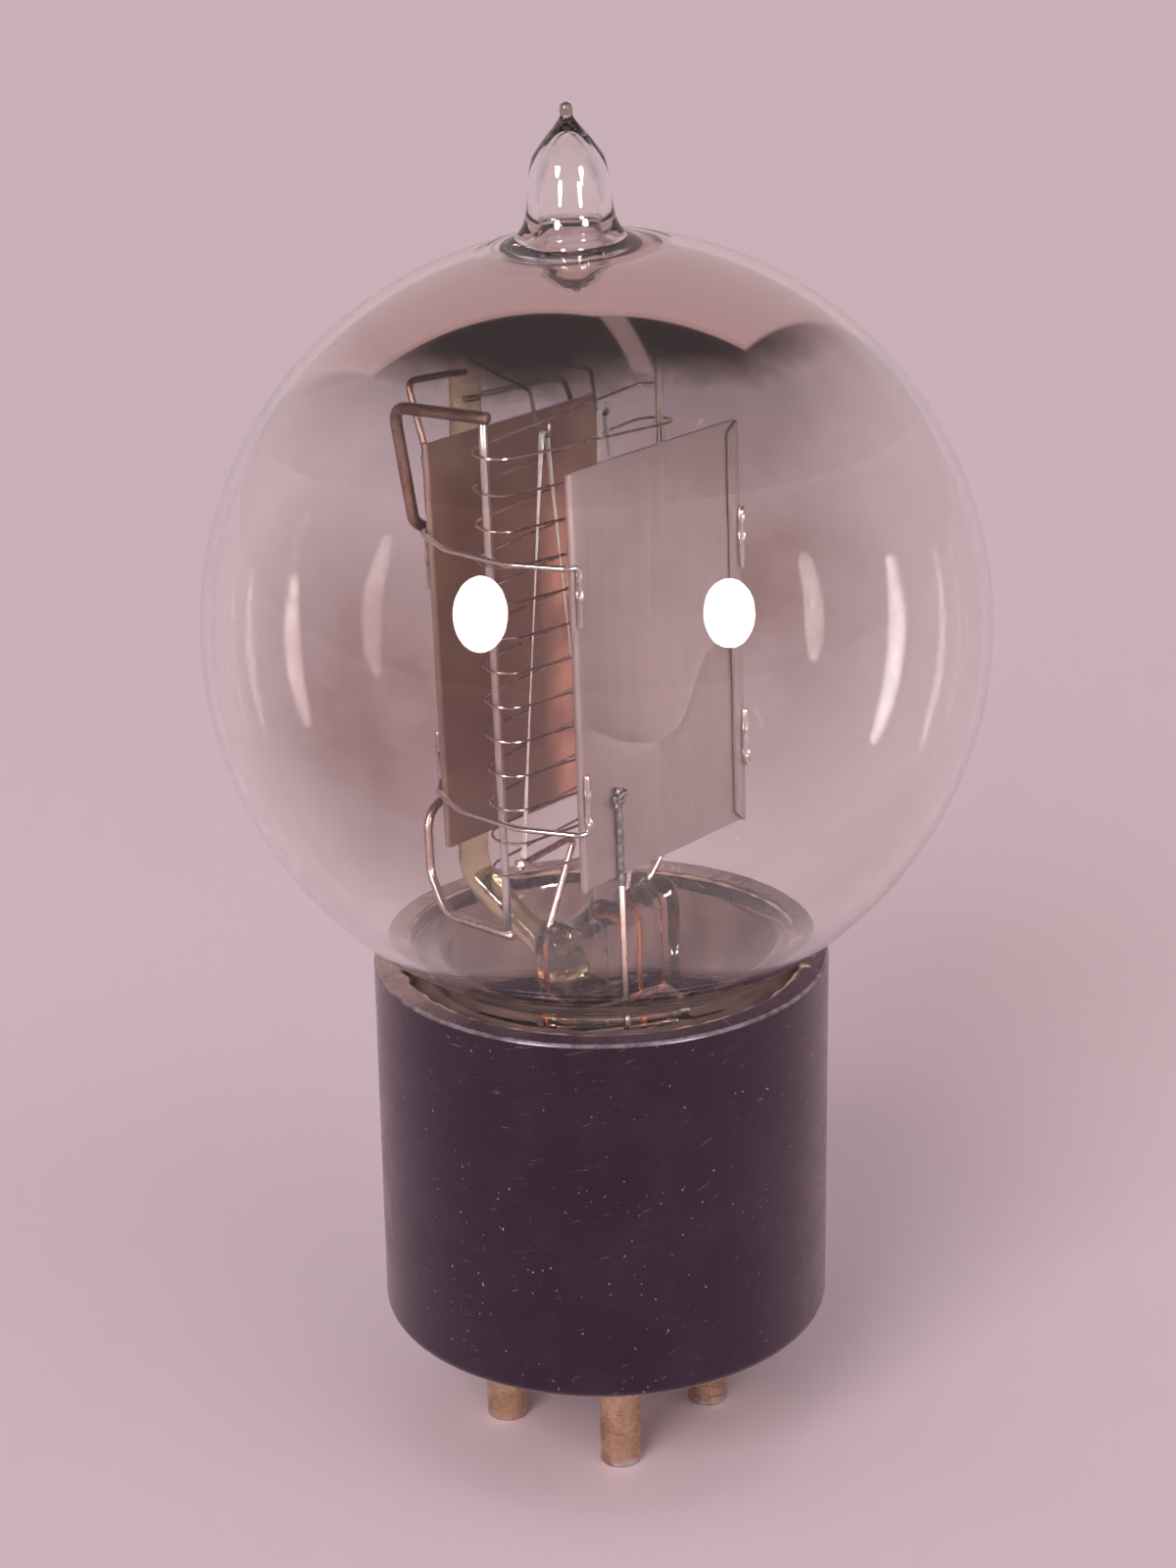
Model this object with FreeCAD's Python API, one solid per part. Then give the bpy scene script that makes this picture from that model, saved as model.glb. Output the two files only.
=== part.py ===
import FreeCAD, Part
import math
import os

from FreeCAD import Placement, Rotation, Vector

# A power triode: a blown glass globe cemented into a four-pin moulded base, with its
# plates, grid and filament carried on a pressed glass stem. Millimetres, +Z up. The
# origin is on the base's axis, level with the pin ends. X runs along the plates' width
# and the front plate is on the -Y side.

# Base and pins
base_d = 34.8
base_h = 29.4
base_wall = 1.9
base_floor = 3.2
base_edge = 0.5
pin_circle_d = 16.26
pin_count = 4
pin_first_angle = 49.75
pin_d = 3.2
pin_shank_d = 2.8
pin_wall = 0.5
pin_reach = 10.8
pin_edge = 0.55
pin_head_d = 4.6
pin_head_h = 0.7
solder_h = 4.0
solder_inset = 0.2
locator_d = 2.4
locator_root_d = 2.8
locator_reach = 2.2
locator_rise = 8.7
locator_angle = 4.75

# Globe, neck and exhaust tip
globe_r = 29.15
glass_wall = 0.8
neck_length = 14.83
neck_show = 0.105
tip_shift = Vector(-0.51, 0.55, 0)
tip_tube_r = 2.6
tip_flare_r = 2.6
tip_shoulder_rise = 5.55
tip_cone_h = 2.0
tip_cone_r = 1.44
tip_point_h = 1.3
tip_knob_r = 0.4
tip_knob_h = 0.57

# How the finished globe sits in the base
lean_angle = 1.28
lean_axis = Vector(-0.728, -0.685, 0)
mount_shift = Vector(-0.41, 0.44, 0)
cement_t = 2.25
cement_depth = 9.0
cement_slope = 1.0
cement_below_rim = 1.9

# Stem: a pressed glass tube, flared out to the neck
stem_tube_r = 7.0
flare_h = 1.8
press_room = 5.85
press_h = 8.0
press_half = 1.8
press_web = 1.5
shoulder_h = 4.2
lead_below_press = 4.5
plate_lead_below_neck = 1.0

# Plates. A room is the height left between a piece and the inside of the globe's top or
# bottom, on the globe's axis.
plate_w = 18.15
plate_gap = 13.67
plate_top_room = 13.61
plate_bottom_room = 11.76
plate_t = 0.25
hem_w = 1.15
hem_gap = 0.1
hem_clip = 0.9

# Ties between the plates
tie_d = 0.43
tie_upper_drop = 6.64
tie_lower_rise = 4.69
tie_tail = 4.4
tie_inset = 0.35
tie_bow = 2.2

# Grid
rod_d = 0.62
rod_left_outset = 0.825
rod_right_inset = 0.525
rod_left_top_room = 10.95
rod_left_bottom_room = 7.15
rod_right_top_room = 7.85
rod_right_bottom_room = 8.35
winding_d = 0.2
winding_half = 1.7
winding_turns = 13
winding_top_room = 11.88
winding_bottom_room = 10.5
wrap_d = 0.3
wrap_turns = 2
wrap_pitch = 0.75

# Filament
ribbon_w = 0.55
ribbon_t = 0.12
hook_left_x = -3.8
hook_left_room = 13.05
hook_right_x = 2.3
hook_right_room = 12.75
filament_foot_x = -0.3
filament_foot_room = 12.35
filament_left_inset = 1.175
filament_right_inset = 2.475
hook_d = 0.3
hook_half = 0.55
hook_tail = 0.9
hook_left_kink = Vector(-0.7, 0, 3.3)
hook_right_kink = Vector(-0.4, 0, 3.3)
hook_left_below_top = 1.6
hook_right_below_top = 1.1

# Wires
lead_d = 0.5
lead_left_x = -5.6
lead_right_x = 3.2
lead_grid_x = 5.8
lead_plate_x = -5.1
plate_lead_weld = 6.3
support_d = 0.9
lower_support_d = 0.7
stay_d = 0.5
stay_weld = 5.4
base_wire_d = 0.5
fit_gap = 0.05

# The glass rod that stands behind the back plate
arbor_d = 2.4
arbor_gap = 0.36
arbor_foot_x = -4.2
arbor_top_x = -2.2
arbor_root_x = -3.4
arbor_room = 7.35
arbor_bite = 0.9

# Worked-out sizes
base_r = base_d / 2
rim_z = pin_reach + base_h
pin_r = pin_d / 2
floor_z = pin_reach + base_floor
bore_r = base_r - base_wall
neck_d = 2 * (bore_r - cement_t)
neck_r = neck_d / 2
globe_rise = math.sqrt(globe_r ** 2 - neck_r ** 2) + neck_show
globe_z = rim_z + globe_rise
neck_end_z = -globe_rise - neck_length
inside_r = globe_r - glass_wall

tip_shoulder_z = globe_r + tip_shoulder_rise
tip_cone_z = tip_shoulder_z + tip_cone_h
tip_knob_z = tip_cone_z + tip_point_h
tip_end_z = tip_knob_z + tip_knob_h

press_top_z = press_room - inside_r
press_foot_z = press_top_z - press_h
stem_bore_top_z = press_foot_z - press_web
stem_shoulder_z = press_foot_z - shoulder_h
lead_end_z = press_foot_z - lead_below_press
plate_lead_end_z = neck_end_z - plate_lead_below_neck

plate_top_z = inside_r - plate_top_room
plate_bottom_z = plate_bottom_room - inside_r
plate_outer_y = plate_gap / 2 + plate_t / 2
hem_outer_y = plate_outer_y + hem_gap + plate_t
tie_upper_z = plate_top_z - tie_upper_drop
tie_lower_z = plate_bottom_z + tie_lower_rise

rod_left_x = -plate_w / 2 - rod_left_outset
rod_right_x = plate_w / 2 - rod_right_inset
rod_left_top_z = inside_r - rod_left_top_room
rod_left_bottom_z = rod_left_bottom_room - inside_r
rod_right_top_z = inside_r - rod_right_top_room
rod_right_bottom_z = rod_right_bottom_room - inside_r
winding_top_z = inside_r - winding_top_room
winding_bottom_z = winding_bottom_room - inside_r
winding_pitch = (winding_top_z - winding_bottom_z) / winding_turns

hook_left = Vector(hook_left_x, 0, inside_r - hook_left_room)
hook_right = Vector(hook_right_x, 0, inside_r - hook_right_room)
filament_foot = Vector(filament_foot_x, 0, filament_foot_room - inside_r)
filament_left_x = -plate_w / 2 + filament_left_inset
filament_right_x = plate_w / 2 - filament_right_inset
filament_end_z = filament_foot.z

arbor_y = hem_outer_y + tie_d + arbor_gap + arbor_d / 2
arbor_foot = Vector(arbor_foot_x, arbor_y, arbor_room - inside_r)
arbor_top = Vector(arbor_top_x, arbor_y, inside_r - arbor_room)
arbor_root = Vector(arbor_root_x, 0, (press_top_z + press_foot_z) / 2 - 0.5)

in_globe = Placement(Vector(0, 0, globe_z), Rotation(lean_axis, lean_angle))
in_mount = in_globe.multiply(Placement(mount_shift, Rotation()))


def on_arc(centre, radius, angle):
    """A point at an angle, in degrees, round a centre in the XZ plane."""
    a = math.radians(angle)
    return centre + Vector(radius * math.cos(a), 0, radius * math.sin(a))


def arc_edge(centre, radius, start, end):
    middle = (start + end) / 2
    return Part.Arc(*[on_arc(centre, radius, angle) for angle in (start, middle, end)]).toShape()


def turned(outline):
    """A solid turned about Z from a closed outline in the XZ plane.

    The outline is a list of corners, with any arc edge standing between its two ends.
    """
    edges = []
    last = outline[0]
    for item in outline[1:] + [outline[0]]:
        if isinstance(item, Vector):
            if not item.isEqual(last, 1e-7):
                edges.append(Part.makeLine(last, item))
            last = item
        else:
            edges.append(item)
            last = Vector(item.lastVertex().Point)
    face = Part.Face(Part.Wire(edges))
    return face.revolve(Vector(), Vector(0, 0, 1), 360)


def polygon_section(diameter, sides=6):
    """The corners of a wire's section, as steps along its two cross axes."""
    angles = [2 * math.pi * (k + 0.5) / sides for k in range(sides)]
    return [(diameter / 2 * math.cos(a), diameter / 2 * math.sin(a)) for a in angles]


def rounded(points, radius, step_angle=24):
    """The same route with its corners turned into short runs on tangent arcs."""
    route = [points[0]]
    for before, corner, after in zip(points, points[1:], points[2:]):
        back = corner - before
        ahead = after - corner
        turn = back.getAngle(ahead)
        if turn < math.radians(step_angle) / 2:
            route.append(corner)
            continue
        room = 0.45 * min(back.Length, ahead.Length)
        arc_r = min(radius, room / math.tan(turn / 2))
        along = Vector(back).normalize()
        side = Vector(ahead).normalize() - along * math.cos(turn)
        side.normalize()
        start = corner - along * (arc_r * math.tan(turn / 2))
        steps = max(2, math.ceil(math.degrees(turn) / step_angle))
        for k in range(steps + 1):
            a = turn * k / steps
            route.append(start + along * (arc_r * math.sin(a)) + side * (arc_r * (1 - math.cos(a))))
    return route + [points[-1]]


def wire(points, section, across=Vector(0, 1, 0)):
    """A wire along straight runs, mitred where two runs meet."""
    runs = [(b - a).normalize() for a, b in zip(points, points[1:])]
    cross_v = runs[0].cross(across).normalize()
    cross_u = cross_v.cross(runs[0]).normalize()
    ring = [points[0] + cross_u * u + cross_v * v for u, v in section]
    rings = [ring]
    for k, point in enumerate(points[1:], 1):
        run = runs[k - 1]
        normal = run + runs[k] if k < len(runs) else Vector(run)
        ring = [p + run * ((point - p).dot(normal) / run.dot(normal)) for p in ring]
        rings.append(ring)
    faces = [Part.Face(Part.makePolygon(end + [end[0]])) for end in (rings[0], rings[-1])]
    for low, high in zip(rings, rings[1:]):
        for k in range(len(section)):
            n = (k + 1) % len(section)
            faces.append(Part.Face(Part.makePolygon([low[k], low[n], high[n], high[k], low[k]])))
    shell = Part.Compound(faces)
    shell.sewShape(1e-6)
    solid = Part.Solid(shell.Shells[0])
    if solid.Volume < 0:
        solid.reverse()
    return solid


def rod(start, end, diameter):
    return Part.makeCylinder(diameter / 2, (end - start).Length, start, end - start)


def circle_place(diameter, angle, z):
    a = math.radians(angle)
    return Vector(diameter / 2 * math.cos(a), diameter / 2 * math.sin(a), z)


def mirrored(points, side):
    return [Vector(side * p.x, p.y, p.z) for p in points]


# Base
pin_angles = [pin_first_angle + 360 * k / pin_count for k in range(pin_count)]
pin_places = [circle_place(pin_circle_d, a, 0) for a in pin_angles]


def base_shell():
    """The moulded cup, with its pin holes and the locating pin's hole."""
    edge = base_edge
    outline = [
        Vector(0, 0, pin_reach),
        Vector(base_r - edge, 0, pin_reach),
        Vector(base_r, 0, pin_reach + edge),
        Vector(base_r, 0, rim_z - edge),
        Vector(base_r - edge, 0, rim_z),
        Vector(bore_r, 0, rim_z),
        Vector(bore_r, 0, floor_z),
        Vector(0, 0, floor_z),
    ]
    cup = turned(outline)
    for place in pin_places:
        cup = cup.cut(rod(place, place + Vector(0, 0, rim_z), pin_shank_d))
    return cup.cut(locating_pin())


def locating_pin():
    """The pin pressed through the side wall, its root thicker and its outer end bevelled."""
    length = base_wall + locator_reach
    r = locator_d / 2
    root_r = locator_root_d / 2
    outline = [
        Vector(0, 0, 0),
        Vector(root_r, 0, 0),
        Vector(root_r, 0, base_wall),
        Vector(r, 0, base_wall),
        Vector(r, 0, length - pin_edge),
        Vector(r - pin_edge, 0, length),
        Vector(0, 0, length),
    ]
    pin = turned(outline)
    turn = Rotation(Vector(0, 0, 1), locator_angle).multiply(Rotation(Vector(0, 1, 0), 90))
    pin.Placement = Placement(circle_place(2 * bore_r, locator_angle, pin_reach + locator_rise), turn)
    return pin


def contact_pin(place):
    """A hollow brass pin: its shoulder seats under the base and its head is turned over inside."""
    bore = pin_r - pin_wall
    shank_r = pin_shank_d / 2
    outline = [
        Vector(bore, 0, 0),
        Vector(pin_r - pin_edge / 2, 0, 0),
        Vector(pin_r, 0, pin_edge),
        Vector(pin_r, 0, pin_reach),
        Vector(shank_r, 0, pin_reach),
        Vector(shank_r, 0, floor_z),
        Vector(pin_head_d / 2, 0, floor_z),
        Vector(pin_head_d / 2, 0, floor_z + pin_head_h),
        Vector(bore, 0, floor_z + pin_head_h),
    ]
    pin = turned(outline)
    pin.translate(place)
    return pin


def solder_plugs():
    """The solder that fills the end of each pin."""
    inset = Vector(0, 0, solder_inset)
    top = Vector(0, 0, solder_h)
    return Part.Compound([rod(p + inset, p + top, pin_d - 2 * pin_wall) for p in pin_places])


# Glass
def envelope(offset):
    """The globe, neck and tip as one solid, drawn in from the outer face by the offset."""
    r = globe_r - offset
    neck = neck_r - offset
    neck_angle = -math.degrees(math.acos(neck / r))
    neck_top = on_arc(Vector(), r, neck_angle)
    globe = turned([
        Vector(0, 0, neck_end_z),
        Vector(neck, 0, neck_end_z),
        neck_top,
        arc_edge(Vector(), r, neck_angle, 90),
        Vector(0, 0, r),
    ])
    tube = tip_tube_r - offset
    flare = tip_flare_r + offset
    foot_z = math.sqrt(globe_r ** 2 - (tip_tube_r + tip_flare_r) ** 2) + tip_flare_r
    foot_centre = Vector(tube + flare, 0, foot_z)
    outline = [
        Vector(0, 0, foot_z - flare),
        on_arc(foot_centre, flare, 270),
        arc_edge(foot_centre, flare, 270, 180),
        Vector(tube, 0, foot_z),
        Vector(tube, 0, tip_shoulder_z),
    ]
    if offset:
        outline += [Vector(0, 0, tip_cone_z)]
    else:
        outline += [
            Vector(tip_cone_r, 0, tip_cone_z),
            Vector(tip_knob_r, 0, tip_knob_z),
            Vector(tip_knob_r, 0, tip_end_z),
            Vector(0, 0, tip_end_z),
        ]
    tip = turned(outline)
    tip.translate(tip_shift)
    return globe.fuse(tip)


def glass_bulb():
    return envelope(0).cut(envelope(glass_wall))


def glass_stem(leads):
    """The flared tube with its top pressed flat, and the leads sealed through it."""
    tube_in = stem_tube_r - glass_wall
    seal_r = neck_r - glass_wall
    flare_top_z = neck_end_z + glass_wall
    body = turned([
        Vector(0, 0, stem_bore_top_z),
        Vector(0, 0, press_top_z),
        Vector(stem_tube_r, 0, press_top_z),
        Vector(stem_tube_r, 0, flare_top_z + flare_h),
        Vector(stem_tube_r + flare_h, 0, flare_top_z),
        Vector(seal_r, 0, flare_top_z),
        Vector(seal_r, 0, neck_end_z),
        Vector(tube_in + flare_h, 0, neck_end_z),
        Vector(tube_in, 0, neck_end_z + flare_h),
        Vector(tube_in, 0, stem_shoulder_z),
    ])
    wide = neck_r
    low_z = neck_end_z - 1
    shoulder = stem_shoulder_z
    section = [
        Vector(-wide, -wide, low_z),
        Vector(-wide, wide, low_z),
        Vector(-wide, wide, shoulder),
        Vector(-wide, stem_tube_r, shoulder),
        Vector(-wide, press_half, press_foot_z),
        Vector(-wide, press_half, press_top_z),
        Vector(-wide, -press_half, press_top_z),
        Vector(-wide, -press_half, press_foot_z),
        Vector(-wide, -stem_tube_r, shoulder),
        Vector(-wide, -wide, shoulder),
    ]
    press = Part.Face(Part.makePolygon(section + [section[0]])).extrude(Vector(2 * wide, 0, 0))
    stem = body.common(press)
    for lead in leads:
        stem = stem.cut(lead)
    return stem.Solids[0]


def glass_arbor(stem, embedded):
    """The glass rod fused to the back of the press, cranked out behind the back plate."""
    route = rounded([arbor_root, arbor_foot, arbor_top], arbor_d * 1.5)
    rod_body = wire(route, polygon_section(arbor_d, 12), Vector(1, 0, 0)).cut(stem)
    for piece in embedded:
        rod_body = rod_body.cut(piece)
    return max(rod_body.Solids, key=lambda s: s.Volume)


def arbor_at(z):
    """The arbor's axis at a height."""
    share = (z - arbor_foot.z) / (arbor_top.z - arbor_foot.z)
    return arbor_foot + (arbor_top - arbor_foot) * share


def cement_ring():
    """The cement between neck and base, sloping up to the glass."""
    low = rim_z - cement_depth
    high = rim_z - cement_below_rim
    inside = neck_r - glass_wall - 1
    ring = turned([Vector(inside, 0, low), Vector(bore_r, 0, low), Vector(bore_r, 0, high),
                   Vector(inside, 0, high + cement_slope)])
    glass = envelope(0)
    glass.Placement = in_globe
    return ring.cut(glass).Solids[0]


# Plates, ties and plate wires
def plate(side):
    """A sheet with its two upright edges hemmed outwards, each hem's ends clipped."""
    half_w = plate_w / 2
    sheet = Part.makeBox(plate_w - 2 * hem_gap - 2 * plate_t, plate_t, plate_top_z - plate_bottom_z,
                         Vector(-half_w + hem_gap + plate_t, -plate_t / 2, plate_bottom_z))
    for edge in (-1, 1):
        sheet = sheet.fuse(hem(edge, half_w))
    turn = Rotation(Vector(0, 0, 1), 180 if side > 0 else 0)
    sheet.Placement = Placement(Vector(0, side * plate_gap / 2, 0), turn)
    return sheet.removeSplitter()


def hem(edge, half_w):
    """The fold at one upright edge: a half round and a strip laid back over the face."""
    bend_r = hem_gap / 2 + plate_t
    bend_y = -plate_t / 2 - hem_gap / 2
    inner_x = half_w - bend_r
    height = plate_top_z - plate_bottom_z
    low = Vector(edge * inner_x, bend_y, plate_bottom_z)
    fold = Part.makeCylinder(bend_r, height, low).cut(Part.makeCylinder(hem_gap / 2, height, low))
    keep = Part.makeBox(bend_r, 2 * bend_r, height, Vector(0, -bend_r, 0))
    keep.Placement = Placement(low, Rotation(Vector(0, 0, 1), 0 if edge > 0 else 180))
    face_y = bend_y - bend_r
    corners = [
        Vector(edge * inner_x, face_y, plate_bottom_z),
        Vector(edge * (half_w - hem_w), face_y, plate_bottom_z + hem_clip),
        Vector(edge * (half_w - hem_w), face_y, plate_top_z - hem_clip),
        Vector(edge * inner_x, face_y, plate_top_z),
    ]
    strip = Part.Face(Part.makePolygon(corners + [corners[0]])).extrude(Vector(0, plate_t, 0))
    lug = Part.makeBox(bend_r, plate_t, height, Vector(0, 0, 0))
    lug.translate(Vector(edge * inner_x - (bend_r if edge > 0 else 0), -plate_t / 2, plate_bottom_z))
    return fold.common(keep).fuse(strip).fuse(lug)


def tie(side, z, tail_end_z):
    """A wire round one side of both plates, its two tails welded on the hems."""
    tail_x = plate_w / 2 - tie_inset
    face_y = hem_outer_y + tie_d / 2 + fit_gap
    out_x = plate_w / 2 + tie_bow
    step_x = plate_w / 2 + tie_d / 2 + 0.25
    half = [
        Vector(tail_x, -face_y, tail_end_z),
        Vector(tail_x, -face_y, z),
        Vector(step_x, 0.1 - hem_outer_y, z),
        Vector(out_x, -plate_gap * 0.22, z),
    ]
    other = [Vector(p.x, -p.y, p.z) for p in reversed(half)]
    return wire(rounded(mirrored(half + other, side), 1.6), polygon_section(tie_d), Vector(1, 0, 0))


def plate_lead():
    """The lead welded down the front plate's outer face and sealed through the flare."""
    y = -plate_outer_y - lead_d / 2
    top = Vector(lead_plate_x, y, plate_bottom_z + plate_lead_weld)
    return rod(Vector(lead_plate_x, y, plate_lead_end_z), top, lead_d)


def plate_stay(points):
    return wire(rounded(points, 0.8), polygon_section(stay_d), Vector(0, 0, 1))


def stay_left():
    """A stay from the arbor to the back plate's left hem."""
    start = arbor_at(arbor_top.z - 2.6)
    y = hem_outer_y + stay_d / 2
    x = -plate_w / 2 + hem_w * 0.6
    return plate_stay([
        start,
        Vector(x, arbor_y - 0.3, start.z + 0.5),
        Vector(x, y, plate_top_z - 0.6),
        Vector(x, y, plate_top_z - stay_weld),
    ])


def stay_right():
    """A stay from the arbor to the back plate's right part."""
    start = arbor_at(arbor_top.z - 4.6)
    y = plate_outer_y + stay_d / 2
    foot_x = plate_w / 2 - 2 * hem_w
    return plate_stay([
        start,
        Vector(foot_x + 1.2, arbor_y, start.z - 0.5),
        Vector(foot_x, y, plate_top_z - 0.6),
        Vector(foot_x, y, plate_top_z - stay_weld),
    ])


# Grid
def upright(x, low_z, high_z):
    return rod(Vector(x, 0, low_z), Vector(x, 0, high_z), rod_d)


def grid_winding():
    """One wire wound down round both rods as a flattened helix."""
    clear = rod_d / 2 + winding_d / 2 + fit_gap
    left = Vector(rod_left_x - clear + winding_half, 0, 0)
    right = Vector(rod_right_x + clear - winding_half, 0, 0)
    loop_length = math.pi * winding_half
    half_length = loop_length + (right.x - left.x)
    loop_drop = winding_pitch / 2 * loop_length / half_length
    chords = 4
    route = []
    for k in range(2 * winding_turns + 1):
        centre, first = (right, -90) if k % 2 == 0 else (left, 90)
        mid_z = winding_top_z - k * winding_pitch / 2
        for n in range(chords + 1):
            a = math.radians(first + 180 * n / chords)
            z = mid_z + loop_drop * (0.5 - n / chords)
            route.append(centre + Vector(winding_half * math.cos(a), winding_half * math.sin(a), z))
    return wire(route[chords // 2:-chords // 2], polygon_section(winding_d), Vector(0, 0, 1))


def support_upper():
    """The thick wire from the left rod's top round to the arbor."""
    top = rod_left_top_z + fit_gap + support_d / 2
    end = arbor_at(tie_upper_z - 1.8)
    route = [
        Vector(rod_left_x, -support_d / 2, top),
        Vector(rod_left_x + 0.1, arbor_y - 0.2, top - 0.6),
        Vector(rod_left_x + 1.6, arbor_y, tie_upper_z + 0.3),
        end + Vector(-arbor_d / 2 - 1.5, 0, 0.2),
        end + Vector(-arbor_d / 2 + arbor_bite, 0, 0),
    ]
    return wire(rounded(route, 1.5), polygon_section(support_d), Vector(1, 0, 0))


def support_lower():
    """The wire from the left rod's bottom round and up to the arbor."""
    low = rod_left_bottom_z - fit_gap - lower_support_d / 2
    end = arbor_at(tie_lower_z - 1.5)
    route = [
        Vector(rod_left_x, -lower_support_d / 2, low),
        Vector(rod_left_x, arbor_y - 2.7, low - 0.2),
        Vector(rod_left_x + 0.7, arbor_y - 0.5, low + 2.4),
        Vector(rod_left_x + 1.2, arbor_y, end.z - 0.8),
        end + Vector(-arbor_d / 2 + arbor_bite, 0, 0),
    ]
    return wire(rounded(route, 2.4), polygon_section(lower_support_d), Vector(1, 0, 0))


def support_right():
    """The wire from the arbor's top, wrapped round the right rod."""
    r = rod_d / 2 + wrap_d / 2 + fit_gap
    top_z = rod_right_top_z - wrap_d
    start = arbor_at(arbor_top.z - 0.8)
    steps = 10 * wrap_turns
    heading = math.degrees(math.atan2(start.y, start.x - rod_right_x)) + 90
    route = [start + Vector(arbor_d / 2 - arbor_bite, 0, 0)]
    for k in range(steps + 1):
        a = math.radians(heading + 360 * wrap_turns * k / steps)
        z = top_z - wrap_pitch * wrap_turns * k / steps
        route.append(Vector(rod_right_x + r * math.cos(a), r * math.sin(a), z))
    return wire(route, polygon_section(wrap_d), Vector(0, 0, 1))


def grid_lead():
    """The lead from the press to the right rod's foot."""
    x = rod_right_x - rod_d / 2 - lead_d / 2 - 0.02
    route = [
        Vector(lead_grid_x, 0, lead_end_z),
        Vector(lead_grid_x, 0, press_top_z + 0.3),
        Vector(x, 0, rod_right_bottom_z),
        Vector(x, 0, rod_right_bottom_z + 1.4),
    ]
    return wire(rounded(route, 0.8), polygon_section(lead_d))


# Filament
def filament_ribbon():
    """One flat ribbon hung in an M from the two hooks, held down at its middle."""
    drop = hook_d / 2 + ribbon_t / 2 + fit_gap
    top_left = hook_left + Vector(0, 0, drop)
    top_right = hook_right + Vector(0, 0, drop)
    foot = filament_foot - Vector(0, 0, drop)
    across = Vector(drop, 0, 0)
    route = [
        Vector(filament_left_x, 0, filament_end_z),
        top_left - across,
        top_left + across,
        foot - across,
        foot + across,
        top_right - across,
        top_right + across,
        Vector(filament_right_x, 0, filament_end_z),
    ]
    w = ribbon_w / 2
    t = ribbon_t / 2
    return wire(route, [(w, t), (-w, t), (-w, -t), (w, -t)])


def hook(seat, kink, below_top):
    """A hook wire: under the ribbon's fold, up, and back to the arbor."""
    end = arbor_at(arbor_top.z - below_top) + Vector(0, -arbor_d / 2 + arbor_bite, 0)
    route = [
        seat + Vector(0, -hook_half, hook_tail),
        seat + Vector(0, -hook_half, 0),
        seat + Vector(0, hook_half, 0),
        seat + kink + Vector(0, hook_half, 0),
        end,
    ]
    return wire(rounded(route, 0.3, 45), polygon_section(hook_d), Vector(1, 0, 0))


def filament_anchor():
    """The wire from the press that holds the ribbon's middle fold down."""
    seat = filament_foot
    route = [
        Vector(seat.x, hook_half, press_foot_z + 0.5),
        seat + Vector(0, hook_half, 0),
        seat + Vector(0, -hook_half, 0),
        seat + Vector(0, -hook_half, -hook_tail),
    ]
    return wire(rounded(route, 0.3, 45), polygon_section(hook_d), Vector(1, 0, 0))


def filament_lead(points):
    return wire(rounded(points, 0.6), polygon_section(lead_d))


def lead_left():
    """The left filament lead, folded back to meet the ribbon's end."""
    end_z = filament_end_z - fit_gap - lead_d / 2
    return filament_lead([
        Vector(lead_left_x, 0, lead_end_z),
        Vector(lead_left_x, 0, press_top_z),
        Vector(filament_foot.x - 2.0, 0, end_z + 0.3),
        Vector(filament_left_x - 0.4, 0, end_z - 0.2),
    ])


def lead_right():
    """The right filament lead, bent over under the ribbon's end."""
    end_z = filament_end_z - fit_gap - lead_d / 2
    return filament_lead([
        Vector(lead_right_x, 0, lead_end_z),
        Vector(lead_right_x, 0, press_top_z),
        Vector(lead_right_x + 1.4, 0, end_z - 0.4),
        Vector(filament_right_x + 0.4, 0, end_z),
    ])


# Wires from the stem down to the pins
def base_wire(top, place):
    """A wire from a lead's outer end down into its pin."""
    start = in_mount.multVec(top) - Vector(0, 0, 3 * fit_gap)
    route = [
        start,
        Vector(start.x * 0.7, start.y * 0.7, start.z - 5),
        Vector(place.x, place.y, floor_z + pin_head_h + 3),
        Vector(place.x, place.y, solder_h),
    ]
    return wire(rounded(route, 2.0), polygon_section(base_wire_d), Vector(1, 0, 0))


# The assembly
plate_wire = plate_lead()
press_wires = [lead_left(), filament_anchor(), lead_right(), grid_lead()]
hooks = [
    hook(hook_left, hook_left_kink, hook_left_below_top),
    hook(hook_right, hook_right_kink, hook_right_below_top),
]
supports = [support_upper(), support_lower(), support_right()]
stays = [stay_left(), stay_right()]

# The stem is drawn about the globe's axis and its leads about the shifted mount's.
sealed = [piece.translated(mount_shift) for piece in press_wires + [plate_wire]]
stem_body = glass_stem(sealed)
arbor_body = glass_arbor(stem_body.translated(-mount_shift), hooks + supports + stays)

glass_nodes = {"glass_bulb": glass_bulb(), "glass_stem": stem_body}
mount_nodes = {
    "glass_arbor": arbor_body,
    "plate_front": plate(-1),
    "plate_back": plate(1),
    "tie_upper_left": tie(-1, tie_upper_z, tie_upper_z - tie_tail),
    "tie_upper_right": tie(1, tie_upper_z, tie_upper_z - tie_tail),
    "tie_lower_left": tie(-1, tie_lower_z, tie_lower_z + tie_tail),
    "tie_lower_right": tie(1, tie_lower_z, tie_lower_z + tie_tail),
    "plate_lead": plate_wire,
    "plate_stay_left": stays[0],
    "plate_stay_right": stays[1],
    "grid_rod_left": upright(rod_left_x, rod_left_bottom_z, rod_left_top_z),
    "grid_rod_right": upright(rod_right_x, rod_right_bottom_z, rod_right_top_z),
    "grid_winding": grid_winding(),
    "grid_support_upper": supports[0],
    "grid_support_lower": supports[1],
    "grid_support_right": supports[2],
    "grid_lead": press_wires[3],
    "filament_ribbon": filament_ribbon(),
    "filament_hook_left": hooks[0],
    "filament_hook_right": hooks[1],
    "filament_anchor": press_wires[1],
    "filament_lead_left": press_wires[0],
    "filament_lead_right": press_wires[2],
}
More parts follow.
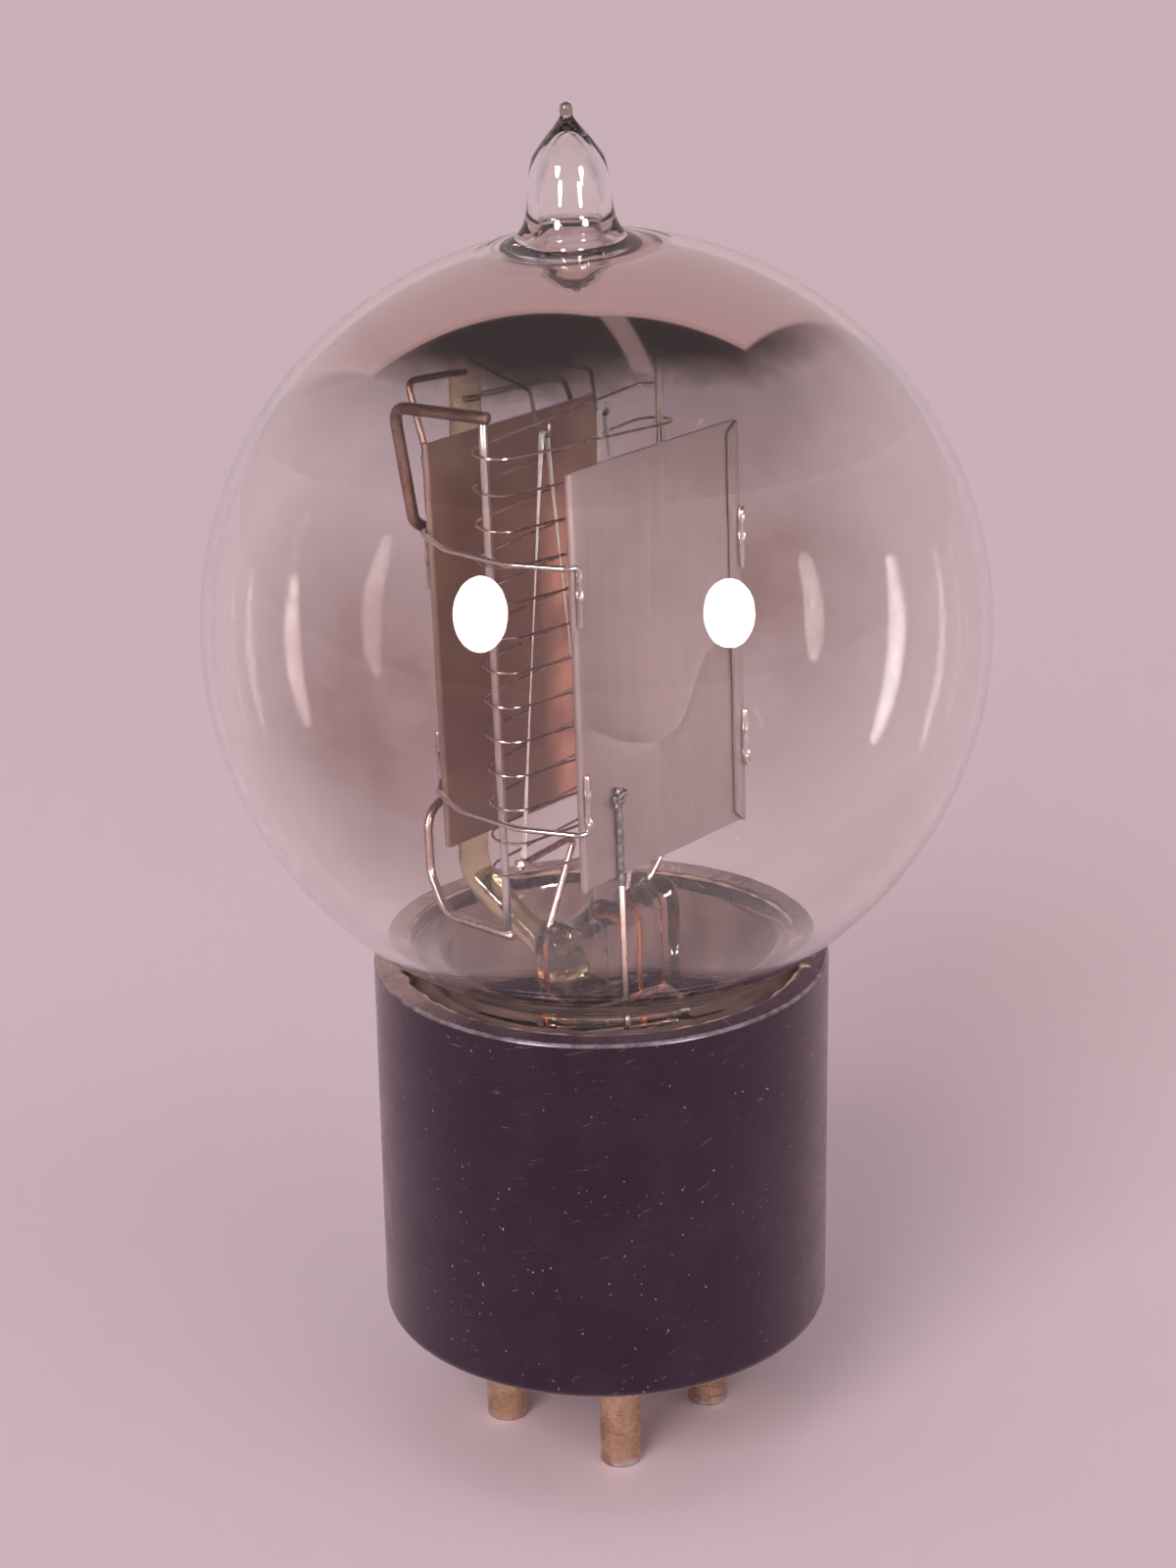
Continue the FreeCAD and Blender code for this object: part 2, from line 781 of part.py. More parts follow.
base_nodes = {
    "base_shell": base_shell(),
    "cement_ring": cement_ring(),
    "solder_plugs": solder_plugs(),
    "locating_pin": locating_pin(),
}
pin_names = ["filament_right", "filament_left", "plate", "grid"]
lead_ends = [Vector(x, 0, lead_end_z) for x in (lead_right_x, lead_left_x, lead_plate_x, lead_grid_x)]
lead_ends[2] = Vector(lead_plate_x, -plate_outer_y - lead_d / 2, plate_lead_end_z)
for name, place, end in zip(pin_names, pin_places, lead_ends):
    base_nodes["pin_" + name] = contact_pin(place)
    base_nodes["base_wire_" + name] = base_wire(end, place)

nodes = dict(base_nodes)
for group, frame in ((glass_nodes, in_globe), (mount_nodes, in_mount)):
    for name, shape in group.items():
        nodes[name] = shape.copy()
        nodes[name].Placement = frame.multiply(shape.Placement)

os.makedirs("parts", exist_ok=True)
for name, shape in nodes.items():
    shape.exportStep("parts/" + name + ".step")
    print(name, "solids", len(shape.Solids), "volume", round(shape.Volume, 2), "valid", shape.isValid())
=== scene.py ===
import math

import bmesh
import bpy
import numpy as np
from mathutils import Matrix, Vector


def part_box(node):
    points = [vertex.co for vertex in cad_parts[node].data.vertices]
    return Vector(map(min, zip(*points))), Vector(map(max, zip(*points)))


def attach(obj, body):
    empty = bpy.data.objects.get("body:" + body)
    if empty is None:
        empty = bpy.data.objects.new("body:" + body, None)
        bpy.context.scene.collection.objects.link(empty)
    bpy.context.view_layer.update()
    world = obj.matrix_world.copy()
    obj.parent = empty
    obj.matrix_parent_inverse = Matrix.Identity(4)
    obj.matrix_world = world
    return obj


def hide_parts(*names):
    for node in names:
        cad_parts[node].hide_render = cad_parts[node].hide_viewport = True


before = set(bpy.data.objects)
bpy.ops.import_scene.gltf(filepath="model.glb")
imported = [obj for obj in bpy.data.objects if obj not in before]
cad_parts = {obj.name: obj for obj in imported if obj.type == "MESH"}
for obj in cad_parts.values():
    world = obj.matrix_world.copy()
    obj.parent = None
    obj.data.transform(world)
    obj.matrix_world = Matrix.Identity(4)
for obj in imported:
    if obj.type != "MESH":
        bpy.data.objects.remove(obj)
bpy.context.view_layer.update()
scene = bpy.context.scene

# Camera
# The photograph's viewpoint: a long lens 21 degrees above level, looking at the globe's middle.
lens_mm = 79.08
camera_place = Vector((-0.176654, -0.165069, 0.146718))
camera_right = Vector((0.680929, -0.732202, -0.014923))
camera_up = Vector((0.272513, 0.234412, 0.933160))
camera_back = Vector((-0.679763, -0.639483, 0.359150))
camera_data = bpy.data.cameras.new("camera")
camera_data.lens = lens_mm
camera_data.sensor_width = 36
camera = bpy.data.objects.new("camera", camera_data)
scene.collection.objects.link(camera)
turn = Matrix((camera_right, camera_up, camera_back)).transposed()
camera.matrix_world = Matrix.Translation(camera_place) @ turn.to_4x4()
scene.camera = camera
scene.view_settings.view_transform = "Standard"

# Floor
# A plain pale cloth-coloured surface that the pins stand on, faintly uneven in tone, and painted
# lighter towards the camera and darker away from it as painted light falloff.
floor_size = 12.0
# The floor runs from a paler near tone to a darker far tone: painted light near the camera, painted
# shade away from it.
floor_near_from, floor_far_from = -0.06, 0.04
floor_uneven = 0.12
floor_near_lit = (0.755, 0.585, 0.635, 1)
floor_far_shaded = (0.69, 0.53, 0.575, 1)


def new_material(name):
    """A material with its node tree, its Principled shader and its output."""
    material = bpy.data.materials.new(name)
    material.use_nodes = True
    tree = material.node_tree
    return material, tree, tree.nodes["Principled BSDF"]


def add(tree, kind, inputs=None, **settings):
    """A shader node with its settings, its inputs taken from numbers or from other sockets."""
    node = tree.nodes.new(kind)
    for key, value in settings.items():
        setattr(node, key, value)
    for key, value in (inputs or {}).items():
        if isinstance(value, bpy.types.NodeSocket):
            tree.links.new(value, node.inputs[key])
        else:
            node.inputs[key].default_value = value
    return node


def blend(tree, factor, first, second, mode="MIX"):
    """Two colours mixed by a factor."""
    values = {0: factor, 6: first, 7: second}
    return add(tree, "ShaderNodeMix", values, data_type="RGBA", blend_type=mode).outputs[2]


def place_of(tree):
    """Where the shaded point is on its piece, in metres."""
    return add(tree, "ShaderNodeTexCoord").outputs["Object"]


def axis_of(tree, vector, axis):
    return add(tree, "ShaderNodeSeparateXYZ", {0: vector}).outputs[axis]


def measure(tree, operation, first, second=(0, 0, 0)):
    """A number taken from one or two vectors."""
    node = add(tree, "ShaderNodeVectorMath", {0: first, 1: second}, operation=operation)
    return node.outputs["Value"]


def noise(tree, scale, detail=3.0, rough=0.5, vector=None):
    """Noise on the piece's own place. The scale is in features to the metre."""
    values = {"Vector": vector or place_of(tree), "Scale": scale, "Detail": detail, "Roughness": rough}
    return add(tree, "ShaderNodeTexNoise", values).outputs["Fac"]


def remap(tree, value, low, high, to_low=0.0, to_high=1.0):
    """A value spread from one range to another, and held there."""
    values = {"Value": value, 1: low, 2: high, 3: to_low, 4: to_high}
    return add(tree, "ShaderNodeMapRange", values).outputs["Result"]


def maths(tree, operation, first, second=0.0):
    return add(tree, "ShaderNodeMath", {0: first, 1: second}, operation=operation).outputs[0]


def times(tree, first, second):
    return maths(tree, "MULTIPLY", first, second)


floor_finish, tree, shader = new_material("floor")
depth = measure(tree, "DOT_PRODUCT", place_of(tree), -camera_back)
uneven = times(tree, remap(tree, noise(tree, 9.0, 4), 0.35, 0.65), floor_uneven)
# The blend by depth is painted light: paler near the camera, painted shade further off.
tone = maths(tree, "ADD", remap(tree, depth, floor_near_from, floor_far_from), uneven)
tree.links.new(blend(tree, tone, floor_near_lit, floor_far_shaded), shader.inputs["Base Color"])
shader.inputs["Roughness"].default_value = 1.0
shader.inputs["Specular IOR Level"].default_value = 0.0
floor_mesh = bpy.data.meshes.new("floor")
half = floor_size / 2
floor_corners = [(-half, -half, 0), (half, -half, 0), (half, half, 0), (-half, half, 0)]
floor_mesh.from_pydata(floor_corners, [], [(0, 1, 2, 3)])
floor_mesh.materials.append(floor_finish)
floor = bpy.data.objects.new("floor", floor_mesh)
scene.collection.objects.link(floor)

# Light
# A wide soft key from the left front, a weaker fill from the right, and an even world. The
# two oval lamps that the globe mirrors are cards which only reflections see.
away = Vector((-camera_back.x, -camera_back.y, 0)).normalized()
upward = Vector((0, 0, 1))
aside = away.cross(upward)
soft_lights = (
    ("key", (-0.42, -0.85, 0.62), 1.70, 30),
    ("fill", (0.55, -0.60, 0.70), 0.35, 50),
)
lamps = (
    ("lamp_left", -32.0, 0.8, 15.0, 19.7),
    ("lamp_right", 36.5, 1.2, 14.2, 17.7),
)
lamp_distance = 0.7
lamp_glow = 50.0
lamp_white = (1, 0.98, 0.97, 1)
lamp_sides = 48
subject = Vector((0, 0, 0.062))


def soft_light(name, parts, strength, spread):
    """A sun that comes from a direction given as shares aside, away and upward."""
    data = bpy.data.lights.new(name, "SUN")
    data.angle = math.radians(spread)
    data.energy = strength
    light = bpy.data.objects.new(name, data)
    towards = (aside * parts[0] + away * parts[1] + upward * parts[2]).normalized()
    light.rotation_euler = towards.to_track_quat("Z", "Y").to_euler()
    light.visible_glossy = False
    light.visible_transmission = False
    scene.collection.objects.link(light)


for light in soft_lights:
    soft_light(*light)

glow = bpy.data.materials.new("lamp_glow")
glow.use_nodes = True
glow.node_tree.nodes.clear()
lit = {"Color": lamp_white, "Strength": lamp_glow}
emission = add(glow.node_tree, "ShaderNodeEmission", lit)
add(glow.node_tree, "ShaderNodeOutputMaterial", {"Surface": emission.outputs[0]})


def lamp_card(name, azimuth, lift, width, height):
    """An oval disc beside the camera that faces the object, sized by the angles it fills."""
    a, e = math.radians(azimuth), math.radians(lift)
    towards = camera_back * math.cos(a) * math.cos(e)
    away = towards + camera_right * math.sin(a) + camera_up * math.sin(e)
    across = camera_up.cross(away).normalized()
    upright = away.cross(across)
    t = np.linspace(0, 2 * np.pi, lamp_sides, endpoint=False)
    half_w = lamp_distance * math.tan(math.radians(width / 2))
    half_h = lamp_distance * math.tan(math.radians(height / 2))
    middle = np.array(subject + away * lamp_distance)
    edge = middle + np.outer(np.cos(t) * half_w, across) + np.outer(np.sin(t) * half_h, upright)
    mesh = bpy.data.meshes.new(name)
    mesh.from_pydata(edge.tolist(), [], [list(range(lamp_sides))])
    mesh.materials.append(glow)
    card = bpy.data.objects.new(name, mesh)
    card.visible_camera = False
    card.visible_diffuse = False
    card.visible_shadow = False
    scene.collection.objects.link(card)


for lamp in lamps:
    lamp_card(*lamp)

# The world lights evenly. A mirror sees a pale board behind the object, its edges four
# planes through the globe, with a pale strip above it, and a dark room all round.
world_light = (0.48, 0.45, 0.46, 1)
backdrop = (0.60, 0.45, 0.47, 1)
room_dark = (0.025, 0.020, 0.024, 1)
room_low = (0.50, 0.385, 0.415, 1)
board_edges = ((0.92, 1.96, -1.0), (-0.21, 1.96, -1.0), (1.0, 0.45, 0.65), (-1.0, 0.34, 0.44))
strip_plane = (0.933, 0.287, -0.216)
strip_half = 0.04
strip_cover = 0.45
soft_edge = 0.006
world = bpy.data.worlds.new("world")
world.use_nodes = True
tree = world.node_tree
tree.nodes.clear()
direction = add(tree, "ShaderNodeTexCoord").outputs["Generated"]


def lean_on(tree, direction, parts):
    """How far a direction leans to the side of a plane, given as shares aside, away and upward."""
    normal = (aside * parts[0] + away * parts[1] + upward * parts[2]).normalized()
    return measure(tree, "DOT_PRODUCT", direction, normal)


board = 1.0
for edge in board_edges:
    board = times(tree, remap(tree, lean_on(tree, direction, edge), -soft_edge, soft_edge), board)
off_strip = maths(tree, "ABSOLUTE", lean_on(tree, direction, strip_plane))
strip = remap(tree, off_strip, strip_half - soft_edge, strip_half + soft_edge, strip_cover, 0.0)
strip = times(tree, strip, remap(tree, lean_on(tree, direction, (0, 1, 0)), 0.08, 0.12))
overhead = remap(tree, lean_on(tree, direction, (0, 0, 1)), 0.15, 0.72)
room = blend(tree, overhead, room_low, room_dark)
mirrored_room = blend(tree, maths(tree, "MAXIMUM", board, strip), room, backdrop)
ray = add(tree, "ShaderNodeLightPath")
mirror_ray = maths(tree, "MAXIMUM", ray.outputs["Is Glossy Ray"], ray.outputs["Is Transmission Ray"])
seen = blend(tree, mirror_ray, world_light, mirrored_room)
seen = blend(tree, ray.outputs["Is Camera Ray"], seen, backdrop)
background = add(tree, "ShaderNodeBackground", {"Color": seen, "Strength": 1.0})
add(tree, "ShaderNodeOutputWorld", {"Surface": background.outputs[0]})
scene.world = world
# Light crosses many glass faces on its way to the works and back.
scene.cycles.max_bounces = 14
scene.cycles.transmission_bounces = 14
scene.cycles.glossy_bounces = 5
scene.cycles.sample_clamp_indirect = 60
scene.cycles.transparent_max_bounces = 12

# Base cup
# The black moulded cup, turned true, its rim and foot edges softened by handling. Dust and
# fine scratches lie on it, its rim's outer edge is painted pale, partly as wear and partly as a
# painted highlight, and the cement browned its inside and the back of its rim.
MM = 0.001
base_low, base_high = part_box("base_shell")
base_r = (base_high.x - base_low.x) / 2 / MM
rim_z = base_high.z / MM
pin_reach = base_low.z / MM
base_wall = 1.9
base_floor = 3.2
floor_top = pin_reach + base_floor
bore_r = base_r - base_wall
foot_round = 0.8
rim_round = 0.35
base_black = (0.0055, 0.0022, 0.0080, 1)
base_worn = (0.026, 0.012, 0.028, 1)
base_sheen = (1.0, 0.62, 0.78, 1)
cup_inside = (0.20, 0.125, 0.105, 1)
rim_stain = (0.30, 0.20, 0.165, 1)
# The pale of the rim's outer edge is partly wear and partly a painted highlight.
rim_pale_highlight = (0.36, 0.30, 0.31, 1)
scratch_pale = (0.22, 0.17, 0.18, 1)
base_specular = (1.0, 0.74, 0.93, 1)
dust_pale = (0.55, 0.45, 0.42, 1)
pin_circle_r = 8.13
pin_first_angle = 49.75
pin_angles = [math.radians(pin_first_angle + 90 * k) for k in range(4)]
shank_r = 1.4


def make_piece(name, grids, place, finish, slot, *nodes, sharp=38):
    """One mesh from grids of points in millimetres, put in its place.

    A grid's rows run along the piece and its columns close round it. Rows shrunk to a point
    are merged to a pole, so each grid is a closed skin.
    """
    points, faces, start = [], [], 0
    for grid in grids:
        rows, cols = grid.shape[:2]
        index = start + np.arange(rows * cols).reshape(rows, cols)
        near, far = index[:-1], index[1:]
        quads = [near, np.roll(near, -1, 1), np.roll(far, -1, 1), far]
        faces.append(np.stack(quads, axis=2).reshape(-1, 4))
        points.append(grid.reshape(-1, 3) * MM)
        start += rows * cols
    points = np.concatenate(points)
    matrix = np.array(place)
    points = points @ matrix[:3, :3].T + matrix[:3, 3]
    mesh = bpy.data.meshes.new(name)
    mesh.from_pydata(points.tolist(), [], np.concatenate(faces).tolist())
    shape = bmesh.new()
    shape.from_mesh(mesh)
    bmesh.ops.remove_doubles(shape, verts=shape.verts, dist=1e-8)
    bmesh.ops.recalc_face_normals(shape, faces=shape.faces)
    shape.to_mesh(mesh)
    shape.free()
    mesh.shade_smooth()
    mesh.set_sharp_from_angle(angle=math.radians(sharp))
    mesh.materials.append(finish)
    piece = bpy.data.objects.new(name, mesh)
    scene.collection.objects.link(piece)
    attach(piece, "root")
    if nodes:
        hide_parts(*nodes)
    return piece


def turned(profile, sides=96):
    """A profile of (radius, height) carried round Z: x = r cos a, y = r sin a, z = height."""
    profile = np.asarray(profile, float)
    a = np.linspace(0, 2 * np.pi, sides, endpoint=False)
    r, z = profile[:, :1], profile[:, 1:2]
    return np.stack([r * np.cos(a), r * np.sin(a), z + 0 * a], axis=2)


def softened(corners, steps=6, hold=0.04):
    """A profile whose corners (r, z, radius) are turned into arcs, with a point held beside each.

    The arc touches both sides at radius x tan(half the turn) from the corner.
    """
    corners = [np.array(c, float) for c in corners]
    out = [corners[0][:2]]
    for before, corner, after in zip(corners, corners[1:], corners[2:]):
        back = before[:2] - corner[:2]
        ahead = after[:2] - corner[:2]
        back_length, ahead_length = np.hypot(*back), np.hypot(*ahead)
        back, ahead = back / back_length, ahead / ahead_length
        inside = math.acos(np.clip(back @ ahead, -1, 1))
        radius = corner[2] if len(corner) > 2 else 0
        if radius == 0 or inside > math.pi - 0.02:
            out.append(corner[:2])
            continue
        cut = min(radius / math.tan(inside / 2), 0.48 * min(back_length, ahead_length))
        radius = cut * math.tan(inside / 2)
        halfway = (back + ahead) / np.hypot(*(back + ahead))
        middle = corner[:2] + halfway * radius / math.sin(inside / 2)
        first = corner[:2] + back * cut - middle
        last = corner[:2] + ahead * cut - middle
        out.append(corner[:2] + back * (cut + hold))
        share = np.linspace(0, 1, steps + 1)[:, None]
        swing = math.pi - inside
        arc = (np.sin((1 - share) * swing) * first + np.sin(share * swing) * last) / math.sin(swing)
        out.extend(middle + arc)
        out.append(corner[:2] + ahead * (cut + hold))
    out.append(corners[-1][:2])
    return np.array(out)


def new_group(name, inputs, outputs):
    """A node group with named sockets, and its input and output nodes."""
    group = bpy.data.node_groups.new(name, "ShaderNodeTree")
    for label, kind, value in inputs:
        socket = group.interface.new_socket(label, in_out="INPUT", socket_type="NodeSocket" + kind)
        socket.default_value = value
    for label, kind in outputs:
        group.interface.new_socket(label, in_out="OUTPUT", socket_type="NodeSocket" + kind)
    given = group.nodes.new("NodeGroupInput").outputs
    return group, given, group.nodes.new("NodeGroupOutput").inputs


def use_group(tree, group, **values):
    node = tree.nodes.new("ShaderNodeGroup")
    node.node_tree = group
    for key, value in values.items():
        node.inputs[key.replace("_", " ")].default_value = value
    return node.outputs


# Dust: small pale specks where two noises both peak.
dust, given, result = new_group(
    "dust", [("Scale", "Float", 900.0), ("Amount", "Float", 0.5)], [("Mask", "Float")])
specks = noise(dust, given["Scale"], 1.0, 0.4)
patches = noise(dust, 130.0, 2.0)
lifted = maths(dust, "ADD", specks, times(dust, patches, 0.12))
limit = maths(dust, "SUBTRACT", 0.92, times(dust, given["Amount"], 0.2))
dust.links.new(remap(dust, maths(dust, "SUBTRACT", lifted, limit), 0.0, 0.03), result["Mask"])

# Scratches: noise drawn out in one direction, kept where it peaks.
scratches, given, result = new_group(
    "scratches", [("Turn", "Float", 0.4), ("Amount", "Float", 0.5)], [("Mask", "Float")])
values = {"Vector": place_of(scratches), "Angle": given["Turn"]}
turned_place = add(scratches, "ShaderNodeVectorRotate", values, rotation_type="Y_AXIS").outputs[0]
drawn_out = {"Vector": turned_place, "Scale": (520.0, 520.0, 5200.0)}
stretched = add(scratches, "ShaderNodeMapping", drawn_out)
lines = noise(scratches, 1.0, 2.0, 0.5, stretched.outputs[0])
gate = times(scratches, noise(scratches, 90.0, 2.0), given["Amount"])
kept = maths(scratches, "ADD", lines, times(scratches, gate, 0.2))
scratches.links.new(remap(scratches, kept, 0.72, 0.78), result["Mask"])


def off_axis(tree):
    """How far the shaded point is from the Z axis."""
    values = {0: place_of(tree), 1: (1, 1, 0)}
    flat_place = add(tree, "ShaderNodeVectorMath", values, operation="MULTIPLY").outputs[0]
    return measure(tree, "LENGTH", flat_place)


def emboss(tree, shader, height, strength, distance):
    """A bump on the shader's normal, its distance in metres."""
    values = {"Height": height, "Strength": strength, "Distance": distance}
    tree.links.new(add(tree, "ShaderNodeBump", values).outputs[0], shader.inputs["Normal"])


base_finish, tree, shader = new_material("base_moulding")
mottle = remap(tree, noise(tree, 160.0, 5, 0.6), 0.4, 0.7)
colour = blend(tree, times(tree, mottle, 0.5), base_black, base_worn)
place_z = axis_of(tree, place_of(tree), "Z")
out_r = off_axis(tree)
# A thin pale line along the rounded outer top edge of the rim: partly wear, partly a painted
# highlight.
rim_edge = maths(tree, "SUBTRACT", maths(tree, "ADD", place_z, out_r), (rim_z + base_r) * MM)
rim_wear_and_highlight = remap(tree, rim_edge, -0.30 * MM, -0.23 * MM)
rim_wear_and_highlight = times(tree, rim_wear_and_highlight, remap(tree, noise(tree, 500.0, 4, 0.6), 0.35, 0.6, 0.2, 0.9))
colour = blend(tree, times(tree, rim_wear_and_highlight, 0.7), colour, rim_pale_highlight)
within = remap(tree, out_r, bore_r * MM, (bore_r - 0.1) * MM)
colour = blend(tree, within, colour, cup_inside)
at_back = remap(tree, axis_of(tree, place_of(tree), "Y"), -2 * MM, 8 * MM)
on_top = remap(tree, place_z, (rim_z - 0.12) * MM, (rim_z - 0.04) * MM)
on_top = times(tree, on_top, at_back)
stained = times(tree, on_top, remap(tree, noise(tree, 260.0, 4, 0.6), 0.3, 0.6, 0.35, 1.0))
colour = blend(tree, stained, colour, rim_stain)
scratch_mask = use_group(tree, scratches, Turn=0.5, Amount=0.25)["Mask"]
colour = blend(tree, times(tree, scratch_mask, 0.35), colour, scratch_pale)
dust_mask = use_group(tree, dust, Scale=3200.0, Amount=0.45)["Mask"]
colour = blend(tree, times(tree, dust_mask, 0.8), colour, dust_pale)
tree.links.new(colour, shader.inputs["Base Color"])
rough = remap(tree, noise(tree, 300.0, 4, 0.6), 0.3, 0.7, 0.20, 0.33)
rough = maths(tree, "ADD", rough, times(tree, dust_mask, 0.4))
tree.links.new(rough, shader.inputs["Roughness"])
height = maths(tree, "ADD", noise(tree, 2200.0, 3), times(tree, scratch_mask, -0.6))
emboss(tree, shader, height, 0.25, 0.00004)
shader.inputs["Specular IOR Level"].default_value = 0.60
shader.inputs["Sheen Weight"].default_value = 0.18
shader.inputs["Sheen Roughness"].default_value = 0.45
shader.inputs["Sheen Tint"].default_value = base_sheen
shader.inputs["Specular Tint"].default_value = base_specular

cup_profile = softened([
    (0, pin_reach), (base_r, pin_reach, foot_round), (base_r, rim_z, rim_round),
    (bore_r, rim_z, rim_round), (bore_r, floor_top, 0.6), (0, floor_top)])
cup_rings = [turned(cup_profile, 144)]
cup = make_piece("base_cup", cup_rings, Matrix(), base_finish, "base_moulding", "base_shell")


def pierce(piece, places, radius, length):
    """Round holes cut along Z through a piece at (x, y, z) places, in millimetres."""
    bar = turned([(0, -length), (radius, -length), (radius, length), (0, length)], 40)
    rings = [bar + np.array(place) for place in places]
    cutter = make_piece("cutter", rings, Matrix(), base_finish, "base_moulding")
    cut = piece.modifiers.new("holes", "BOOLEAN")
    cut.operation = "DIFFERENCE"
    cut.object = cutter
    cut.solver = "EXACT"
    shown = piece.evaluated_get(bpy.context.evaluated_depsgraph_get())
    mesh = bpy.data.meshes.new_from_object(shown)
    piece.modifiers.clear()
    piece.data = mesh
    mesh.set_sharp_from_angle(angle=math.radians(38))
    bpy.data.objects.remove(cutter)


pin_places = [(pin_circle_r * math.cos(a), pin_circle_r * math.sin(a)) for a in pin_angles]
pierce(cup, [(x, y, pin_reach + base_floor / 2) for x, y in pin_places], shank_r, base_floor)

# Contact pins
# Hollow brass pins, shouldered under the cup and headed inside, drawn tube with rounded ends.
# They have gone brown, with rubbed brass where a socket's springs bore, and solder in the end.
pin_r = 1.6
pin_bore = 1.1
pin_end_round = 0.55
head_r = 2.3
head_top = floor_top + 0.7
solder_top = 4.0
solder_low = 0.2
brass_rubbed = (0.87, 0.64, 0.43, 1)
brass_dull = (0.45, 0.28, 0.19, 1)
solder_grey = (0.55, 0.52, 0.50, 1)
copper_red = (0.80, 0.25, 0.16, 1)
brass_band = (0.26, 0.15, 0.11, 1)

# Tarnish: two colours blended by a broad and a fine noise, with a height for the bump.
tarnish, given, result = new_group(
    "tarnish",
    [("Clean", "Color", (0.6, 0.6, 0.6, 1)), ("Stained", "Color", (0.3, 0.25, 0.2, 1)),
     ("Scale", "Float", 200.0), ("Amount", "Float", 0.5)],
    [("Color", "Color"), ("Mask", "Float"), ("Height", "Float")])
broad = noise(tarnish, given["Scale"], 4.0, 0.6)
fine = noise(tarnish, times(tarnish, given["Scale"], 9.0), 3.0, 0.6)
both = maths(tarnish, "ADD", times(tarnish, broad, 0.7), times(tarnish, fine, 0.3))
lowest = maths(tarnish, "SUBTRACT", 0.75, times(tarnish, given["Amount"], 0.5))
spread = remap(tarnish, maths(tarnish, "SUBTRACT", both, lowest), -0.08, 0.12)
tarnish.links.new(blend(tarnish, spread, given["Clean"], given["Stained"]), result["Color"])
tarnish.links.new(spread, result["Mask"])
tarnish.links.new(both, result["Height"])


def metal(name, clean, stained, scale, amount, shine=(0.28, 0.5), relief=0.00002, red_below=None):
    """A metal finish: clean and stained colours, the roughness of each, and copper red below."""
    material, tree, shader = new_material(name)
    shader.inputs["Metallic"].default_value = 1.0
    parts = use_group(tree, tarnish, Clean=clean, Stained=stained, Scale=scale, Amount=amount)
    colour = parts["Color"]
    if red_below:
        place_z = axis_of(tree, place_of(tree), "Z")
        low = remap(tree, place_z, red_below * MM, (red_below - 0.6) * MM)
        colour = blend(tree, low, colour, copper_red)
    tree.links.new(colour, shader.inputs["Base Color"])
    tree.links.new(remap(tree, parts["Mask"], 0.0, 1.0, *shine), shader.inputs["Roughness"])
    emboss(tree, shader, parts["Height"], 0.5, relief)
    return material


brass = metal("pin_brass", brass_rubbed, brass_dull, 420.0, 0.6, (0.24, 0.45), 0.00003)
tree = brass.node_tree
shader = tree.nodes["Principled BSDF"]
colour = shader.inputs["Base Color"].links[0].from_socket
bands = use_group(tree, scratches, Turn=0.0, Amount=0.95)["Mask"]
colour = blend(tree, times(tree, bands, 0.85), colour, brass_band)
foot = remap(tree, axis_of(tree, place_of(tree), "Z"), 0.9 * MM, 0.4 * MM)
tinned = times(tree, foot, remap(tree, noise(tree, 900.0, 3), 0.4, 0.55))
tree.links.new(blend(tree, tinned, colour, solder_grey), shader.inputs["Base Color"])
solder_metal = metal("solder", solder_grey, (0.3, 0.27, 0.25, 1), 600.0, 0.5, (0.3, 0.5))
pin_profile = softened([
    (pin_bore, 1.0), (pin_bore, 0, 0.1), (pin_r, 0, pin_end_round), (pin_r, pin_reach, 0.05),
    (shank_r, pin_reach), (shank_r, floor_top), (head_r, floor_top), (head_r, head_top, 0.3),
    (pin_bore, head_top, 0.2), (pin_bore, 1.0)])
pin_names = ("filament_right", "filament_left", "plate", "grid")
for name, (x, y) in zip(pin_names, pin_places):
    rings = turned(pin_profile, 40) + np.array((x, y, 0))
    make_piece("contact_" + name, [rings], Matrix(), brass, "pin_brass", "pin_" + name)

solder_profile = softened([
    (0, solder_low + 0.12), (pin_bore * 0.6, solder_low + 0.08, 0.5), (pin_bore, solder_low, 0.05),
    (pin_bore, solder_top, 0.2), (0, solder_top)])
solder_rings = [turned(solder_profile, 32) + np.array((x, y, 0)) for x, y in pin_places]
make_piece("solder_ends", solder_rings, Matrix(), solder_metal, "solder", "solder_plugs")

# Locating pin
# The short brass pin pressed through the cup's wall, its outer end bevelled.
locator_angle = math.radians(4.75)
locator_z = pin_reach + 8.7
locator_r = 1.2
locator_root_r = 1.4
locator_reach = 2.2
locator_profile = softened([
    (0, 0), (locator_root_r, 0, 0.1), (locator_root_r, base_wall, 0.02), (locator_r, base_wall),
    (locator_r, base_wall + locator_reach, 0.6), (0, base_wall + locator_reach)])
locator_place = (
    Matrix.Rotation(locator_angle, 4, "Z") @ Matrix.Translation((bore_r * MM, 0, locator_z * MM))
    @ Matrix.Rotation(math.pi / 2, 4, "Y"))
locator_rings = [turned(locator_profile, 40)]
make_piece("locator", locator_rings, locator_place, brass, "pin_brass", "locating_pin")

# Basing cement
# Tan cement run in between neck and cup by hand: its top is lumpy, lies paler where it meets
# the cup's wall, and blobs were left on the rim.
neck_r = 13.25
cement_low = rim_z - 9.0
cement_high = rim_z - 1.9
cement_slope = 1.0
cement_tan = (0.31, 0.205, 0.165, 1)
cement_dark = (0.060, 0.028, 0.032, 1)
cement_grain = (0.5, 0.4, 0.33, 1)
cement_sides = 240
globe_r = 29.15
glass_wall = 0.8
globe_rise = math.sqrt(globe_r ** 2 - neck_r ** 2) + 0.105
lean = Matrix.Rotation(math.radians(1.28), 4, Vector((-0.728, -0.685, 0)))
in_globe = Matrix.Translation((0, 0, (rim_z + globe_rise) * MM)) @ lean
in_mount = in_globe @ Matrix.Translation((-0.41 * MM, 0.44 * MM, 0))


def ripple(*terms):
    """A sum of sine waves: each term is (size, phase array), the array in radians."""
    return sum(size * np.sin(phase) for size, phase in terms)


